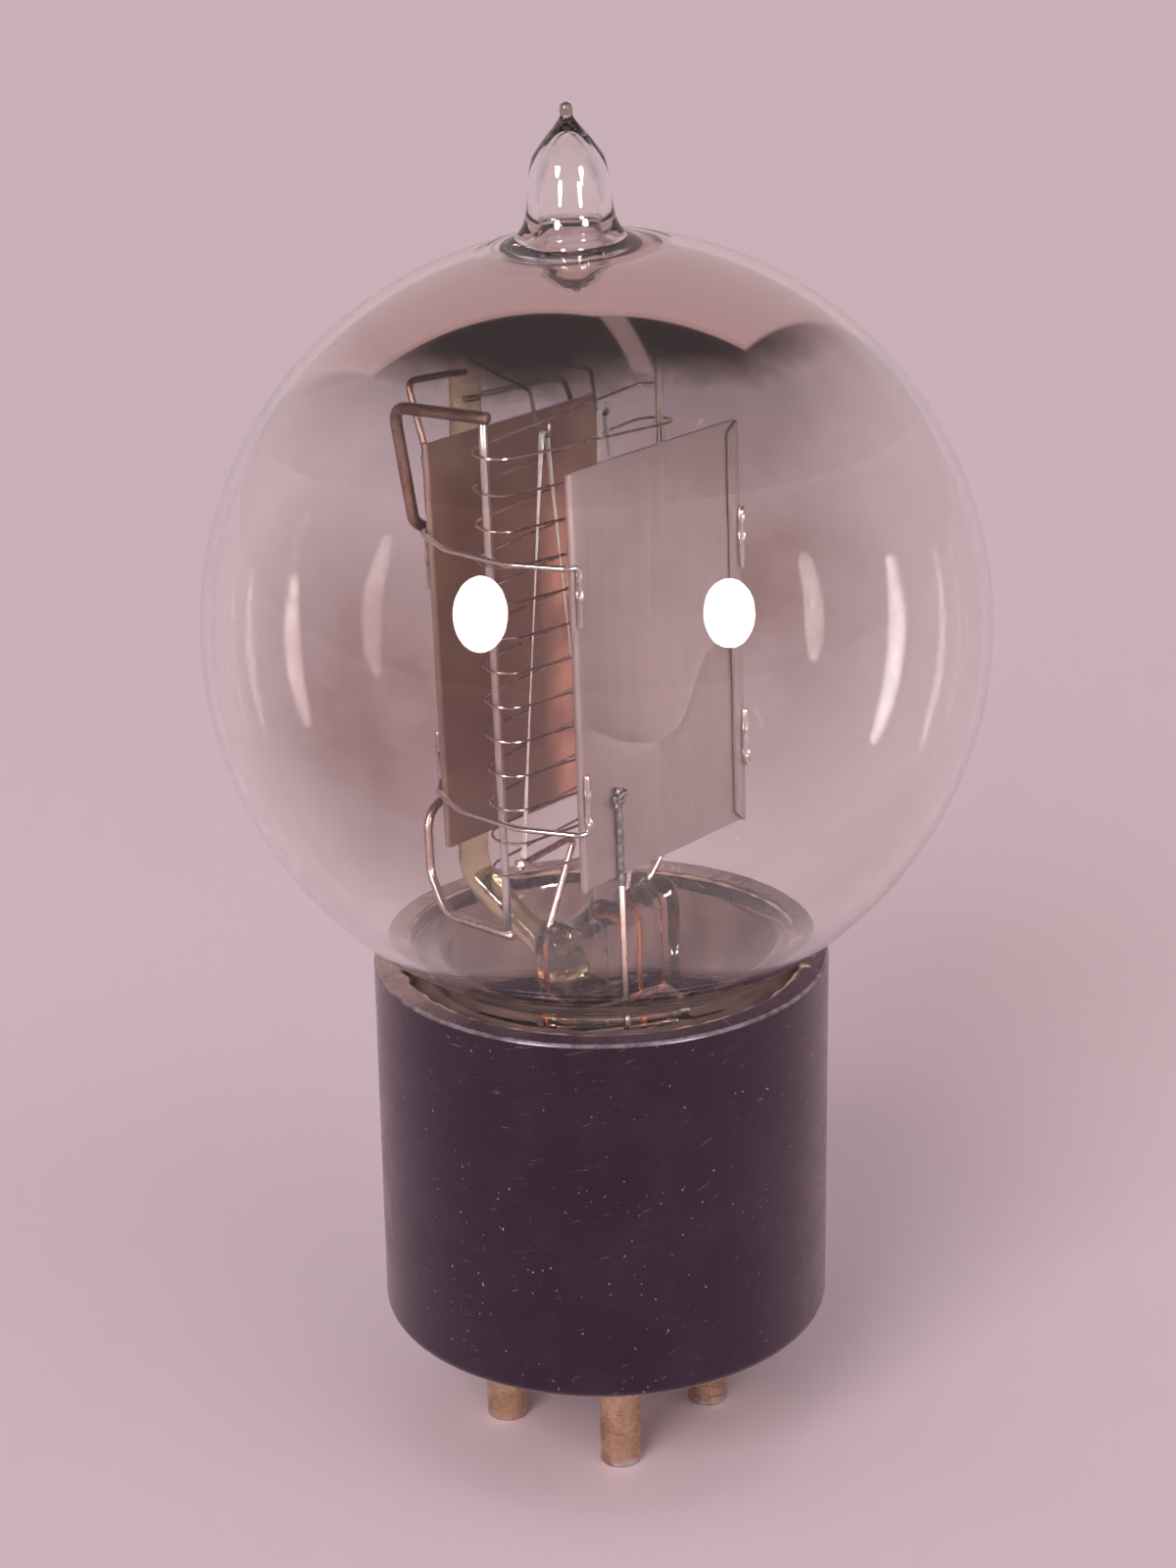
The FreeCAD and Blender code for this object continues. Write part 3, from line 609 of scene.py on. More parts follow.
cement_finish, tree, shader = new_material("cement")
grain = noise(tree, 900.0, 5, 0.65)
mask = remap(tree, noise(tree, 220.0, 4, 0.6), 0.35, 0.6)
edge = remap(tree, off_axis(tree), (bore_r - 0.5) * MM, (bore_r - 0.1) * MM)
tan = maths(tree, "MAXIMUM", edge, times(tree, mask, 0.2))
colour = blend(tree, tan, cement_dark, cement_tan)
colour = blend(tree, remap(tree, grain, 0.35, 0.65, 0.0, 0.5), colour, cement_grain, "OVERLAY")
tree.links.new(colour, shader.inputs["Base Color"])
shader.inputs["Roughness"].default_value = 0.75
emboss(tree, shader, grain, 0.6, 0.0001)

around = np.linspace(0, 2 * np.pi, cement_sides, endpoint=False)
inner_low_r = neck_r + 0.55
top_steps = np.linspace(0, 1, 14)[:, None]
top_r = bore_r - top_steps * (bore_r - inner_low_r)
lumps = ripple((0.16, 7 * around + 1), (0.12, 17 * around + 2), (0.07, 41 * around),
               (0.05, 67 * around + top_steps * 5))
lumps = lumps * np.sin(np.pi * np.clip(top_steps, 0.05, 0.95))
top_z = cement_high + 0.35 + cement_slope * top_steps ** 1.5 + lumps
cement_top = np.stack([top_r * np.cos(around), top_r * np.sin(around), top_z], axis=2)
cement_side = turned([(bore_r, cement_low), (bore_r, cement_high)], cement_sides)
cement_inside = turned(
    [(inner_low_r, cement_high), (inner_low_r, cement_low), (bore_r, cement_low)], cement_sides)
cement_rings = np.concatenate([cement_side, cement_top, cement_inside])
make_piece("cement_fill", [cement_rings], Matrix(), cement_finish, "cement", "cement_ring", sharp=60)


def blob(centre, size, wobble=0.25, rows=9, cols=12):
    """A lump: an ellipsoid whose radius is rippled by a few waves over its two angles."""
    u = np.linspace(0, np.pi, rows)[:, None]
    v = np.linspace(0, 2 * np.pi, cols, endpoint=False)
    waves = ripple((0.5, 2 * v + 3 * u), (0.4, 3 * v - 2 * u + 1), (0.3, 5 * v + 4 * u))
    r = 1 + wobble * np.sin(u) * waves
    unit = np.stack([np.sin(u) * np.cos(v), np.sin(u) * np.sin(v), np.cos(u) + 0 * v], axis=2)
    return np.array(centre) + unit * r[..., None] * np.array(size)


def on_rim(angle, r, lift):
    """A place by the cup's rim, the angle in degrees."""
    a = math.radians(angle)
    return (r * math.cos(a), r * math.sin(a), rim_z + lift)


smear_places = (
    (138.0, 15.9, -0.25, 0.9), (-54.0, 15.9, -0.3, 0.7), (-61.0, 15.9, -0.3, 0.5),
    (150.0, 15.8, -0.4, 0.6))
smear_half = 0.42
smears = [blob(on_rim(a, r, lift), (size, size, smear_half)) for a, r, lift, size in smear_places]
bead_turn = np.linspace(0, 2 * np.pi, 241)[:, None]
bead_waves = ripple((0.05, 9 * bead_turn), (0.04, 31 * bead_turn + 1), (0.04, 53 * bead_turn))
bead_r = np.maximum(0.02, 0.09 + bead_waves)
bead_side = np.linspace(0, 2 * np.pi, 8, endpoint=False)
bead_out = bore_r + bead_r * np.cos(bead_side)
bead_z = rim_z - rim_round * 0.6 + bead_r * np.sin(bead_side)
bead = np.stack([bead_out * np.cos(bead_turn), bead_out * np.sin(bead_turn), bead_z], axis=2)
bead[-1] = bead[0]
make_piece("cement_smears", smears + [bead], Matrix(), cement_finish, "cement")

# Globe
# One blown bulb of thin soda glass: a globe drawn down to the neck that goes into the cup,
# with the exhaust tube melted off to a point on top.
tip_shift = np.array((-0.51, 0.55))
neck_end = -globe_rise - 14.83
neck_fillet = 1.5
tip_top = 38.57
tip_foot_r = 6.1
tip_hollow_r = 4.6
glass_clear = (0.985, 0.972, 0.965, 1)
glass_smoked = (0.44, 0.32, 0.28, 1)
glass_burnt = (0.40, 0.37, 0.31, 1)
glass_shadow = (0.93, 0.90, 0.89, 1)
smoke_places = (((-27.6, -7.2, 3.0), 18.5), ((27.6, 8.0, -4.5), 24.0))
smoke_full = 3.0


def arc(centre, radius, start, end, steps):
    """Points on an arc in the (r, z) plane, the angles in degrees from the r axis."""
    a = np.radians(np.linspace(start, end, steps))
    return np.stack([centre[0] + radius * np.cos(a), centre[1] + radius * np.sin(a)], axis=1)


def through(points, steps):
    """A smooth curve through points: a cubic between each two, its slopes set by the neighbours."""
    p = np.array(points, float)
    p = np.vstack([2 * p[0] - p[1], p, 2 * p[-1] - p[-2]])
    t = np.linspace(0, 1, steps, endpoint=False)[:, None]
    spans = []
    for a, b, c, d in zip(p, p[1:], p[2:], p[3:]):
        squared = 2 * a - 5 * b + 4 * c - d
        cubed = 3 * b - a - 3 * c + d
        spans.append(0.5 * (2 * b + (c - a) * t + squared * t ** 2 + cubed * t ** 3))
    return np.vstack(spans + [p[-2:-1]])


fillet_z = -math.sqrt((globe_r + neck_fillet) ** 2 - (neck_r + neck_fillet) ** 2)
fillet_turn = math.degrees(math.atan2(-fillet_z, neck_r + neck_fillet))
foot_angle = math.degrees(math.acos(tip_foot_r / globe_r))
outer = np.vstack([
    [(neck_r, neck_end + 0.1), (neck_r, neck_end + 6), (neck_r, fillet_z - 2)],
    arc((neck_r + neck_fillet, fillet_z), neck_fillet, 180, 180 - fillet_turn, 10),
    arc((0, 0), globe_r, -fillet_turn, foot_angle, 110)[1:],
    through([(tip_foot_r, 28.5), (4.7, 28.85), (3.75, 29.45), (3.25, 30.4), (3.05, 31.6), (2.88, 33.2),
             (2.55, 34.7), (1.75, 35.9), (0.95, 36.85), (0.5, 37.5), (0.47, 37.95), (0.36, 38.4),
             (0, tip_top)], 7)[1:],
])
inner_r = globe_r - glass_wall
inner_neck = neck_r - glass_wall
inner_fillet = neck_fillet + glass_wall
inner_foot = math.degrees(math.acos(tip_hollow_r / inner_r))
inner = np.vstack([
    through([(0, 36.3), (0.5, 36.0), (1.25, 34.9), (1.85, 33.4), (2.15, 31.8), (2.3, 30.6),
             (2.35, 29.6), (2.6, 28.8), (3.3, 28.1), (tip_hollow_r, 27.95)], 7)[:-1],
    arc((0, 0), inner_r, inner_foot, -fillet_turn, 110),
    arc((neck_r + neck_fillet, fillet_z), inner_fillet, 180 - fillet_turn, 180, 10)[1:],
    [(inner_neck, fillet_z - 2), (inner_neck, neck_end + 6), (inner_neck, neck_end + 0.1)],
])
neck_lip = [(neck_r - 0.3, neck_end), (inner_neck + 0.3, neck_end)]
bulb_profile = np.vstack([outer[::-1], neck_lip, inner[::-1]])


def bulb_rings(profile, sides=192):
    """The profile turned about Z, each ring slid sideways by a share of the tip's offset.

    The share is 1 in the tip and eases to 0 over the globe's top. On the globe the height
    follows the sphere, so that the slid rings stay on it.
    """
    rings = turned(profile, sides)
    r, z = profile[:, 0], profile[:, 1]
    share = np.where(z < 20, 0, np.clip((12 - r) / 6, 0, 1))
    share = share ** 2 * (3 - 2 * share)
    rings[..., :2] += share[:, None, None] * tip_shift
    sphere_r = np.hypot(r, z)
    on_globe = (share > 0) & (r > 6.2)
    height = np.sqrt(np.maximum(sphere_r[:, None] ** 2 - (rings[..., :2] ** 2).sum(axis=2), 0))
    rings[on_globe, :, 2] = height[on_globe]
    return rings


def clear_glass(name, tint, roughness=0.0, ior=1.5, haze=0.006):
    """Glass that lets light through to what it covers: shadow rays pass it as if it were open."""
    material, tree, shader = new_material(name)
    shader.inputs["Transmission Weight"].default_value = 1 - haze
    shader.inputs["Roughness"].default_value = roughness
    shader.inputs["IOR"].default_value = ior
    shader.inputs["Base Color"].default_value = tint
    open_way = add(tree, "ShaderNodeBsdfTransparent", {"Color": glass_shadow})
    ray = add(tree, "ShaderNodeLightPath")
    ways = {0: ray.outputs["Is Shadow Ray"], 1: shader.outputs[0], 2: open_way.outputs[0]}
    mix = add(tree, "ShaderNodeMixShader", ways)
    tree.links.new(mix.outputs[0], tree.nodes["Material Output"].inputs["Surface"])
    return material, tree, shader


bulb_glass, tree, shader = clear_glass("bulb_glass", glass_clear)
tip_end = (in_globe @ Vector((0, 0, tip_top * MM))).z
smoke = 0.0
for middle, reach in smoke_places:
    distance = measure(tree, "DISTANCE", place_of(tree), in_globe @ (Vector(middle) * MM))
    patch = remap(tree, distance, reach * MM, smoke_full * MM)
    smoke = maths(tree, "MAXIMUM", patch, smoke)
cloud = remap(tree, noise(tree, 110.0, 5, 0.6), 0.3, 0.7, 0.65, 1.0)
smoke = times(tree, smoke, cloud)
colour = blend(tree, smoke, glass_clear, glass_smoked)
knob = remap(tree, axis_of(tree, place_of(tree), "Z"), tip_end - 2.2 * MM, tip_end - 1.2 * MM)
tree.links.new(blend(tree, knob, colour, glass_burnt), shader.inputs["Base Color"])
make_piece("bulb", [bulb_rings(bulb_profile)], in_globe, bulb_glass, "bulb_glass", "glass_bulb")

# Deposit
# Metal that evaporated through the open top of the plates has settled inside the globe's
# crown as a thin brown mirror, thick in the middle and fading out at its edge.
film_angle = 56.0
film_thick = (16.0, 21.5)
film_thin = (17.5, 28.0)
film_cover = 0.96
film_thin_cover = 0.36
film_tint = (0.68, 0.53, 0.50, 1)
film_sides = 128
film_polar = np.radians(np.linspace(5.5, film_angle, 60))
film_skin = 0.015
film_r = inner_r - 0.02
outside = np.stack([np.sin(film_polar), np.cos(film_polar)], axis=1) * film_r
film_profile = np.vstack([outside, outside[::-1] * (1 - film_skin / film_r), outside[:1]])
film_finish, tree, shader = new_material("bulb_deposit")
shader.inputs["Metallic"].default_value = 1.0
shader.inputs["Roughness"].default_value = 0.04
shader.inputs["Base Color"].default_value = film_tint
crown = in_globe @ Vector((0, 0, globe_r * MM))
edge_noise = times(tree, maths(tree, "SUBTRACT", noise(tree, 120.0, 4, 0.6), 0.5), 6 * MM)
distance = maths(tree, "ADD", measure(tree, "DISTANCE", place_of(tree), crown), edge_noise)
thick = remap(tree, distance, film_thick[1] * MM, film_thick[0] * MM, 0.0, film_cover)
thin = remap(tree, distance, film_thin[1] * MM, film_thin[0] * MM, 0.0, film_thin_cover)
tree.links.new(maths(tree, "MAXIMUM", thick, thin), shader.inputs["Alpha"])
film_rings = [turned(film_profile, film_sides)]
make_piece("crown_deposit", film_rings, in_globe, film_finish, "bulb_glass")

# Stem
# A glass tube, flared out to the neck at its foot and squeezed flat round the leads at its
# top. The squeezed glass bulges over each wire.
stem_r = 7.0
stem_bore = stem_r - glass_wall
press_top = 5.85 - inner_r
press_foot = press_top - 8.0
press_half = 1.8
stem_shoulder = press_foot - 4.2
bore_top = press_foot - 1.5
flare_h = 1.8
seal_r = neck_r - glass_wall
flare_top = neck_end + glass_wall
lead_left_x = -5.6
lead_right_x = 3.2
lead_grid_x = 5.8
filament_foot = np.array((-0.3, 0, 12.35 - inner_r))
press_leads = (lead_left_x, filament_foot[0], lead_right_x, lead_grid_x)


def stem_rings(sides=120):
    """Rings of a superellipse, |x / a|^n + |y / b|^n = 1, down the outside and up the bore.

    Each row below is (z, a, b, n), and smooth curves run between them.
    """
    outside = through([
        (press_top + 0.2, 0.01, 0.01, 4), (press_top + 0.15, 5.9, 0.8, 4),
        (press_top - 0.3, 6.8, 1.5, 5),
        (press_top - 2, stem_r, press_half, 6), (press_foot, stem_r, press_half + 0.1, 5),
        (press_foot - 2, stem_r, 4.4, 3), (stem_shoulder, stem_r, 6.8, 2.1),
        (stem_shoulder - 2, stem_r, stem_r, 2), (flare_top + 2 * flare_h, stem_r, stem_r, 2)], 7)
    foot = through([
        (flare_top + 2 * flare_h, stem_r), (flare_top + flare_h, stem_r + 0.2),
        (flare_top + 0.3, stem_r + 1.2),
        (flare_top, seal_r - 2.5), (flare_top, seal_r), (neck_end, seal_r), (neck_end, seal_r - 2.5),
        (neck_end + 0.2, stem_bore + 1.3), (neck_end + flare_h, stem_bore)], 6)
    foot = np.column_stack([foot[:, 0], foot[:, 1], foot[:, 1], np.full(len(foot), 2)])
    inside = through([
        (neck_end + 2 * flare_h, stem_bore, stem_bore, 2),
        (stem_shoulder, stem_bore, stem_bore * 0.97, 2), (press_foot - 3, stem_bore - 0.1, 3.2, 2.4),
        (bore_top, 5.0, 0.9, 3), (bore_top + 0.3, 0.01, 0.01, 2)], 7)
    rows = np.vstack([outside, foot, inside])
    z, a, b, n = (rows[:, k:k + 1] for k in range(4))
    t = np.linspace(0, 2 * np.pi, sides, endpoint=False)
    x = a * np.sign(np.cos(t)) * np.abs(np.cos(t)) ** (2 / n)
    y = b * np.sign(np.sin(t)) * np.abs(np.sin(t)) ** (2 / n)
    over_wires = sum(np.exp(-((x - lead) / 0.85) ** 2) for lead in press_leads)
    high = np.clip((z - press_foot) / 3, 0, 1) * (np.arange(len(rows)) < len(outside))[:, None]
    y = y * (1 + high * (0.22 * over_wires - 0.1)) + high * 0.12 * np.sin(1.3 * x + 0.4 * z)
    z = z + high * np.clip((z - press_top + 1.5) / 1.5, 0, 1) * (0.7 * over_wires - 0.45)
    return np.stack([x, y, z + 0 * x], axis=2)


stem_glass, tree, shader = clear_glass("stem_glass", (0.93, 0.88, 0.85, 1), 0.02)
emboss(tree, shader, noise(tree, 260.0, 3), 0.5, 0.0004)
make_piece("stem", [stem_rings()], in_globe, stem_glass, "stem_glass", "glass_stem", sharp=70)

# Glass rod
# A solid glass rod fused to the back of the press and cranked out behind the back plate. Its
# top is melted over the wires stuck into it, and narrows a little there.
arbor_r = 1.2
plate_w = 18.15
plate_gap = 13.67
plate_t = 0.25
hem_w = 1.15
hem_gap = 0.1
hem_clip = 0.9
tie_r = 0.215
hem_outer_y = plate_gap / 2 + 1.5 * plate_t + hem_gap
arbor_y = hem_outer_y + 2 * tie_r + 0.36 + arbor_r
arbor_foot = np.array((-4.2, arbor_y, 7.35 - inner_r))
arbor_top = np.array((-2.2, arbor_y, inner_r - 7.35))
arbor_root = np.array((-3.4, 0, (press_top + press_foot) / 2 - 0.5))


def at(*place):
    return np.array(place, float)


def bend(corners, radius, steps=8):
    """The route, each corner turned into a curve: p = (1-t)^2 a + 2t(1-t) b + t^2 c."""
    corners = np.array(corners, float)
    t = np.linspace(0, 1, steps + 1)[:, None]
    out = [corners[:1]]
    for before, corner, after in zip(corners, corners[1:], corners[2:]):
        back, ahead = before - corner, after - corner
        back_length, ahead_length = np.linalg.norm(back), np.linalg.norm(ahead)
        inside = math.acos(np.clip(back @ ahead / back_length / ahead_length, -1, 1))
        longest = 0.47 * min(back_length, ahead_length)
        cut = min(radius / max(math.tan(inside / 2), 0.05), longest)
        a = corner + back / back_length * cut
        c = corner + ahead / ahead_length * cut
        out.append((1 - t) ** 2 * a + 2 * t * (1 - t) * corner + t ** 2 * c)
    return np.vstack(out + [corners[-1:]])


def unit(vectors):
    return vectors / np.linalg.norm(vectors, axis=-1, keepdims=True)


def directions(path):
    """The direction at each point of a path, midway between its two runs."""
    runs = unit(np.diff(path, axis=0))
    return unit(np.vstack([runs[:1], runs[:-1] + runs[1:], runs[-1:]]))


def finely(path, step):
    """The path with points added, so that no run is longer than a step."""
    counts = np.ceil(np.linalg.norm(np.diff(path, axis=0), axis=1) / step)
    parts = [np.linspace(a, b, max(1, int(count)), endpoint=False)
             for a, b, count in zip(path, path[1:], counts)]
    return np.vstack(parts + [path[-1:]])


def tube(path, radius, sides=14):
    """A round bar along a path, its ends softly closed.

    Each ring's axis across is the last ring's, turned only as the path turns. The radius is
    one number or one to each point.
    """
    path = np.asarray(path, float)
    along = directions(path)
    radius = np.broadcast_to(radius, len(path))
    ends = np.vstack([path[0] - along[0] * radius[0] * s for s in (0.35, 0.3, 0.1)])
    far = np.vstack([path[-1] + along[-1] * radius[-1] * s for s in (0.1, 0.3, 0.35)])
    across = np.cross(along[0], (0.31, 0.52, 0.79))
    sideways = []
    for heading in along:
        across = unit(across - heading * (across @ heading))
        sideways.append(across)
    cap = np.array((0, 0.7, 0.93))
    points = np.vstack([ends, path, far])
    sideways = np.vstack([[sideways[0]] * 3, sideways, [sideways[-1]] * 3])
    along = np.vstack([[along[0]] * 3, along, [along[-1]] * 3])
    radii = np.concatenate([cap * radius[0], radius, cap[::-1] * radius[-1]])[:, None, None]
    upright = np.cross(along, sideways)
    a = np.linspace(0, 2 * np.pi, sides, endpoint=False)[:, None]
    return points[:, None] + radii * (np.cos(a) * sideways[:, None] + np.sin(a) * upright[:, None])


def wire(route, radius, bend_r, step=1.5, sides=14, bend_steps=8):
    """A round wire along a route, its corners bent."""
    return tube(finely(bend(route, bend_r, bend_steps), step), radius, sides)


def arbor_at(z):
    """The rod's axis at a height."""
    run = arbor_top - arbor_foot
    return arbor_foot + run * (z - arbor_foot[2]) / run[2]


arbor_glass, tree, shader = clear_glass("arbor_glass", (0.80, 0.70, 0.46, 1), 0.06)
emboss(tree, shader, noise(tree, 400.0, 2), 0.4, 0.0003)
arbor_path = finely(bend([arbor_root, arbor_foot, arbor_top], 3.6, 14), 1.5)
arbor_z = arbor_path[:, 2]
arbor_swell = 1 + 0.03 * np.sin(arbor_z * 1.1) - 0.1 * np.clip(arbor_z - arbor_top[2] + 1.2, 0, 1)
arbor_rings = tube(arbor_path, arbor_r * arbor_swell, 28)
make_piece("arbor", [arbor_rings], in_mount, arbor_glass, "arbor_glass", "glass_arbor", sharp=70)

# Plates
# Two sheets of satin nickel, standing upright. Each upright edge is hemmed back over the
# outer face, and the sheet is a little bowed by the heat of its welds.
plate_top = inner_r - 13.61
plate_bottom = 11.76 - inner_r
sheet_rows = 30
plate_clean = (0.41, 0.325, 0.32, 1)
plate_stained = (0.36, 0.28, 0.27, 1)
plate_grain = (0.56, 0.49, 0.48, 1)
soot_brown = (0.34, 0.205, 0.185, 1)
soot_pale = (0.42, 0.29, 0.22, 1)
ember_red = (1.0, 0.56, 0.43, 1)

plate_metal, tree, shader = new_material("plate_metal")
shader.inputs["Metallic"].default_value = 1.0
shader.inputs["Roughness"].default_value = 0.42
shader.inputs["Anisotropic"].default_value = 0.35
parts = use_group(
    tree, tarnish, Clean=plate_clean, Stained=plate_stained, Scale=45.0, Amount=0.34)
drawn_out = {"Vector": place_of(tree), "Scale": (2600.0, 2600.0, 40.0)}
grain = noise(tree, 1.0, 3, 0.6, add(tree, "ShaderNodeMapping", drawn_out).outputs[0])
colour = blend(tree, remap(tree, grain, 0.3, 0.7, 0.0, 0.18), parts["Color"], plate_grain)
coordinates = add(tree, "ShaderNodeTexCoord").outputs
normal_y = axis_of(tree, coordinates["Normal"], "Y")
sheet_place = add(tree, "ShaderNodeSeparateXYZ", {0: coordinates["Object"]}).outputs
# The inner face is where the normal points to the sheet's other side.
inner_face = remap(tree, times(tree, normal_y, sheet_place["Y"]), -1 * MM, -3 * MM)
soot = blend(tree, remap(tree, noise(tree, 130.0, 4), 0.35, 0.65), soot_brown, soot_pale)
ember = times(tree, remap(tree, sheet_place["X"], 1.4 * MM, 3.6 * MM),
              remap(tree, sheet_place["Z"], 78 * MM, 68 * MM))
ember = times(tree, ember, remap(tree, noise(tree, 170.0, 4), 0.3, 0.6))
colour = blend(tree, inner_face, colour, blend(tree, ember, soot, ember_red))
tree.links.new(colour, shader.inputs["Base Color"])
emboss(tree, shader, grain, 0.15, 0.00002)


def hemmed_sheet(side):
    """A plate with its hems. Rows go across the sheet, columns up one face and down the other.

    The middle line goes out along one hem's strip, round its fold, over the sheet and round
    the other fold. A strip's ends are cut back by hem_clip x its share of the way in.
    """
    half_w = plate_w / 2
    fold_r = (plate_t + hem_gap) / 2
    fold_x = half_w - fold_r - plate_t / 2
    strip_x = np.linspace(half_w - hem_w, fold_x, 5)
    strip = np.stack([strip_x, np.full(5, 2 * fold_r)], axis=1)
    swing = np.linspace(np.pi / 2, -np.pi / 2, 9)[1:-1]
    fold = np.stack([fold_x + fold_r * np.cos(swing), fold_r + fold_r * np.sin(swing)], axis=1)
    flat_x = np.linspace(fold_x, -fold_x, 25)
    flat = np.stack([flat_x, 0 * flat_x], axis=1)
    line = np.vstack([strip, fold, flat, (fold * (-1, 1))[::-1], (strip * (-1, 1))[::-1]])
    along = directions(line)
    normal = np.stack([along[:, 1], -along[:, 0]], axis=1)
    inward = (line[:, 1] > fold_r) * (fold_x - np.abs(line[:, 0])) / (fold_x - half_w + hem_w)
    inward = np.clip(inward, 0, 1)
    thickness = np.full(len(line), plate_t / 2)
    line, normal, inward = (np.vstack([a[:1], a, a[-1:]]) for a in (line, normal, inward[:, None]))
    thickness = np.concatenate([[0], thickness, [0]])[:, None, None]
    up = np.linspace(plate_bottom, plate_top, sheet_rows)
    levels = np.concatenate([up, up[::-1]])
    face = np.repeat([1.0, -1.0], sheet_rows)[:, None]
    xy = line[:, None] + thickness * face * normal[:, None]
    middle_z = (plate_top + plate_bottom) / 2
    half_h = (plate_top - plate_bottom) / 2
    z = middle_z + (levels - middle_z) * (1 - inward * hem_clip / half_h)
    u, v = xy[..., 0] / half_w, (z - middle_z) / half_h
    bow = 0.07 * np.sin(2.1 * u + side) * np.cos(2.4 * v) + 0.03 * np.sin(5 * v + 3 * u)
    y = side * (plate_gap / 2 + xy[..., 1] + bow * (1 - u ** 2))
    return np.stack([xy[..., 0], y, z], axis=2)


for name, side in (("front", -1), ("back", 1)):
    sheet = [hemmed_sheet(side)]
    label = "plate_sheet_" + name
    make_piece(label, sheet, in_mount, plate_metal, "plate_metal", "plate_" + name)

# Ties
# Four bright nickel wires bowed round from plate to plate, their tails laid along the hems
# and spot-welded, each weld a rough bright lump.
tie_upper = plate_top - 6.64
tie_lower = plate_bottom + 4.69
tie_tail = 4.4
tie_inset = 0.35
tie_bow = 2.2
tie_clear = 0.25
tie_shoulder = 0.22
tie_bend = 3.0
tie_weld = 0.20
tie_weld_count = 5
fit_gap = 0.05
tie_metal = metal(
    "tie_metal", (0.74, 0.69, 0.68, 1), (0.50, 0.41, 0.39, 1), 160.0, 0.3, (0.16, 0.34), 0.000006)
weld_metal = metal(
    "weld_metal", (0.80, 0.75, 0.73, 1), (0.42, 0.33, 0.30, 1), 1500.0, 0.5, (0.12, 0.45), 0.00012)


def welds(path, size, count, along=2.6):
    """Lumps strung evenly along a straight run, each a ripply ellipsoid."""
    places = np.linspace(path[0], path[1], count + 2)[1:-1]
    sizes = size * (1 + 0.3 * np.sin(2.3 * np.arange(count) + path[0][2]))
    return [blob(p, (s, s, s * along), 0.6, 7, 10) for p, s in zip(places, sizes)]


def tie_route(side, z, tail_end):
    """One tie's route: up a hem of the front plate, round the open side and down the back one."""
    tail_x = plate_w / 2 - tie_inset
    face_y = hem_outer_y + tie_r + fit_gap
    step_x = plate_w / 2 + tie_r + tie_clear
    half = [at(tail_x, -face_y, tail_end), at(tail_x, -face_y, z), at(step_x, 0.1 - hem_outer_y, z),
            at(plate_w / 2 + tie_bow, -plate_gap * tie_shoulder, z)]
    return [p * (side, 1, 1) for p in half] + [p * (side, -1, 1) for p in reversed(half)]


for level, z, tail in (("upper", tie_upper, -tie_tail), ("lower", tie_lower, tie_tail)):
    for name, side in (("left", -1), ("right", 1)):
        route = tie_route(side, z, z + tail)
        tails = ((route[0], route[1]), (route[-1], route[-2]))
        lumps = [lump for run in tails for lump in welds(run, tie_weld, tie_weld_count)]
        rings = [wire(route, tie_r, tie_bend, 1.2, bend_steps=12)]
        label = "tie_" + level + "_" + name
        make_piece(label + "_wire", rings, in_mount, tie_metal, "tie_metal", label)
        make_piece(label + "_welds", lumps, in_mount, weld_metal, "tie_metal")

# Plate lead
# The wire that carries the front plate's current. Its top is crushed and welded on the
# plate, dark and rough from the weld; below the plate it is clean, pinkish wire.
lead_r = 0.25
lead_plate_x = -5.1
plate_lead_weld = 6.3
plate_outer_y = (plate_gap + plate_t) / 2
plate_lead_end = neck_end - 1.0
red_above_rim = rim_z + 2.4
lead_looks = ((0.60, 0.45, 0.42, 1), (0.36, 0.22, 0.19, 1), 220.0, 0.4, (0.25, 0.45), 0.00001)
lead_metal = metal("lead_metal", *lead_looks)
sealed_metal = metal("sealed_lead", *lead_looks, red_above_rim)
burnt_metal = metal(
    "burnt_metal", (0.22, 0.20, 0.21, 1), (0.09, 0.075, 0.08, 1), 1800.0, 0.5, (0.35, 0.65), 0.00015)
lead_y = -plate_outer_y - lead_r
lead_low = at(lead_plate_x, lead_y, plate_lead_end)
lead_edge = at(lead_plate_x, lead_y, plate_bottom - 0.6)
lead_top = at(lead_plate_x, lead_y, plate_bottom + plate_lead_weld)
rings = [tube([lead_low, lead_edge], lead_r)]
make_piece("plate_lead_wire", rings, in_mount, lead_metal, "lead_metal", "plate_lead")
weld_path = finely(np.array([lead_edge, lead_top]), 0.2)
weld_z = weld_path[:, 2]
weld_r = lead_r * (1.05 + ripple((0.12, 5.1 * weld_z), (0.1, 11 * weld_z + 1), (0.07, 23 * weld_z)))
knobs = [blob(lead_top + at(*place), (0.36, 0.3, 0.42), 1.2)
         for place in ((-0.2, -0.05, -0.35), (0.2, -0.05, 0.15))]
rings = [tube(weld_path, weld_r, 18)] + knobs
make_piece("plate_lead_weld", rings, in_mount, burnt_metal, "lead_metal")

# Plate stays
# Two wires from the glass rod's top down to the back plate, each bent down and welded on:
# the left one oxidised brown, the right one bright.
stay_r = 0.25
stay_weld = 5.4
support_metal = metal(
    "support_metal", (0.40, 0.25, 0.21, 1), (0.20, 0.11, 0.09, 1), 260.0, 0.5, (0.32, 0.55))


def stay(name, slot, finish, start, over, x, y):
    """A stay from its start in the glass rod, over and down the back plate's face at (x, y)."""
    route = [start, over, at(x, y, plate_top - 0.6), at(x, y, plate_top - stay_weld)]
    make_piece(name + "_wire", [wire(route, stay_r, 0.8)], in_mount, finish, slot, name)
    make_piece(name + "_welds", welds(route[2:], 0.28, 3), in_mount, weld_metal, slot)


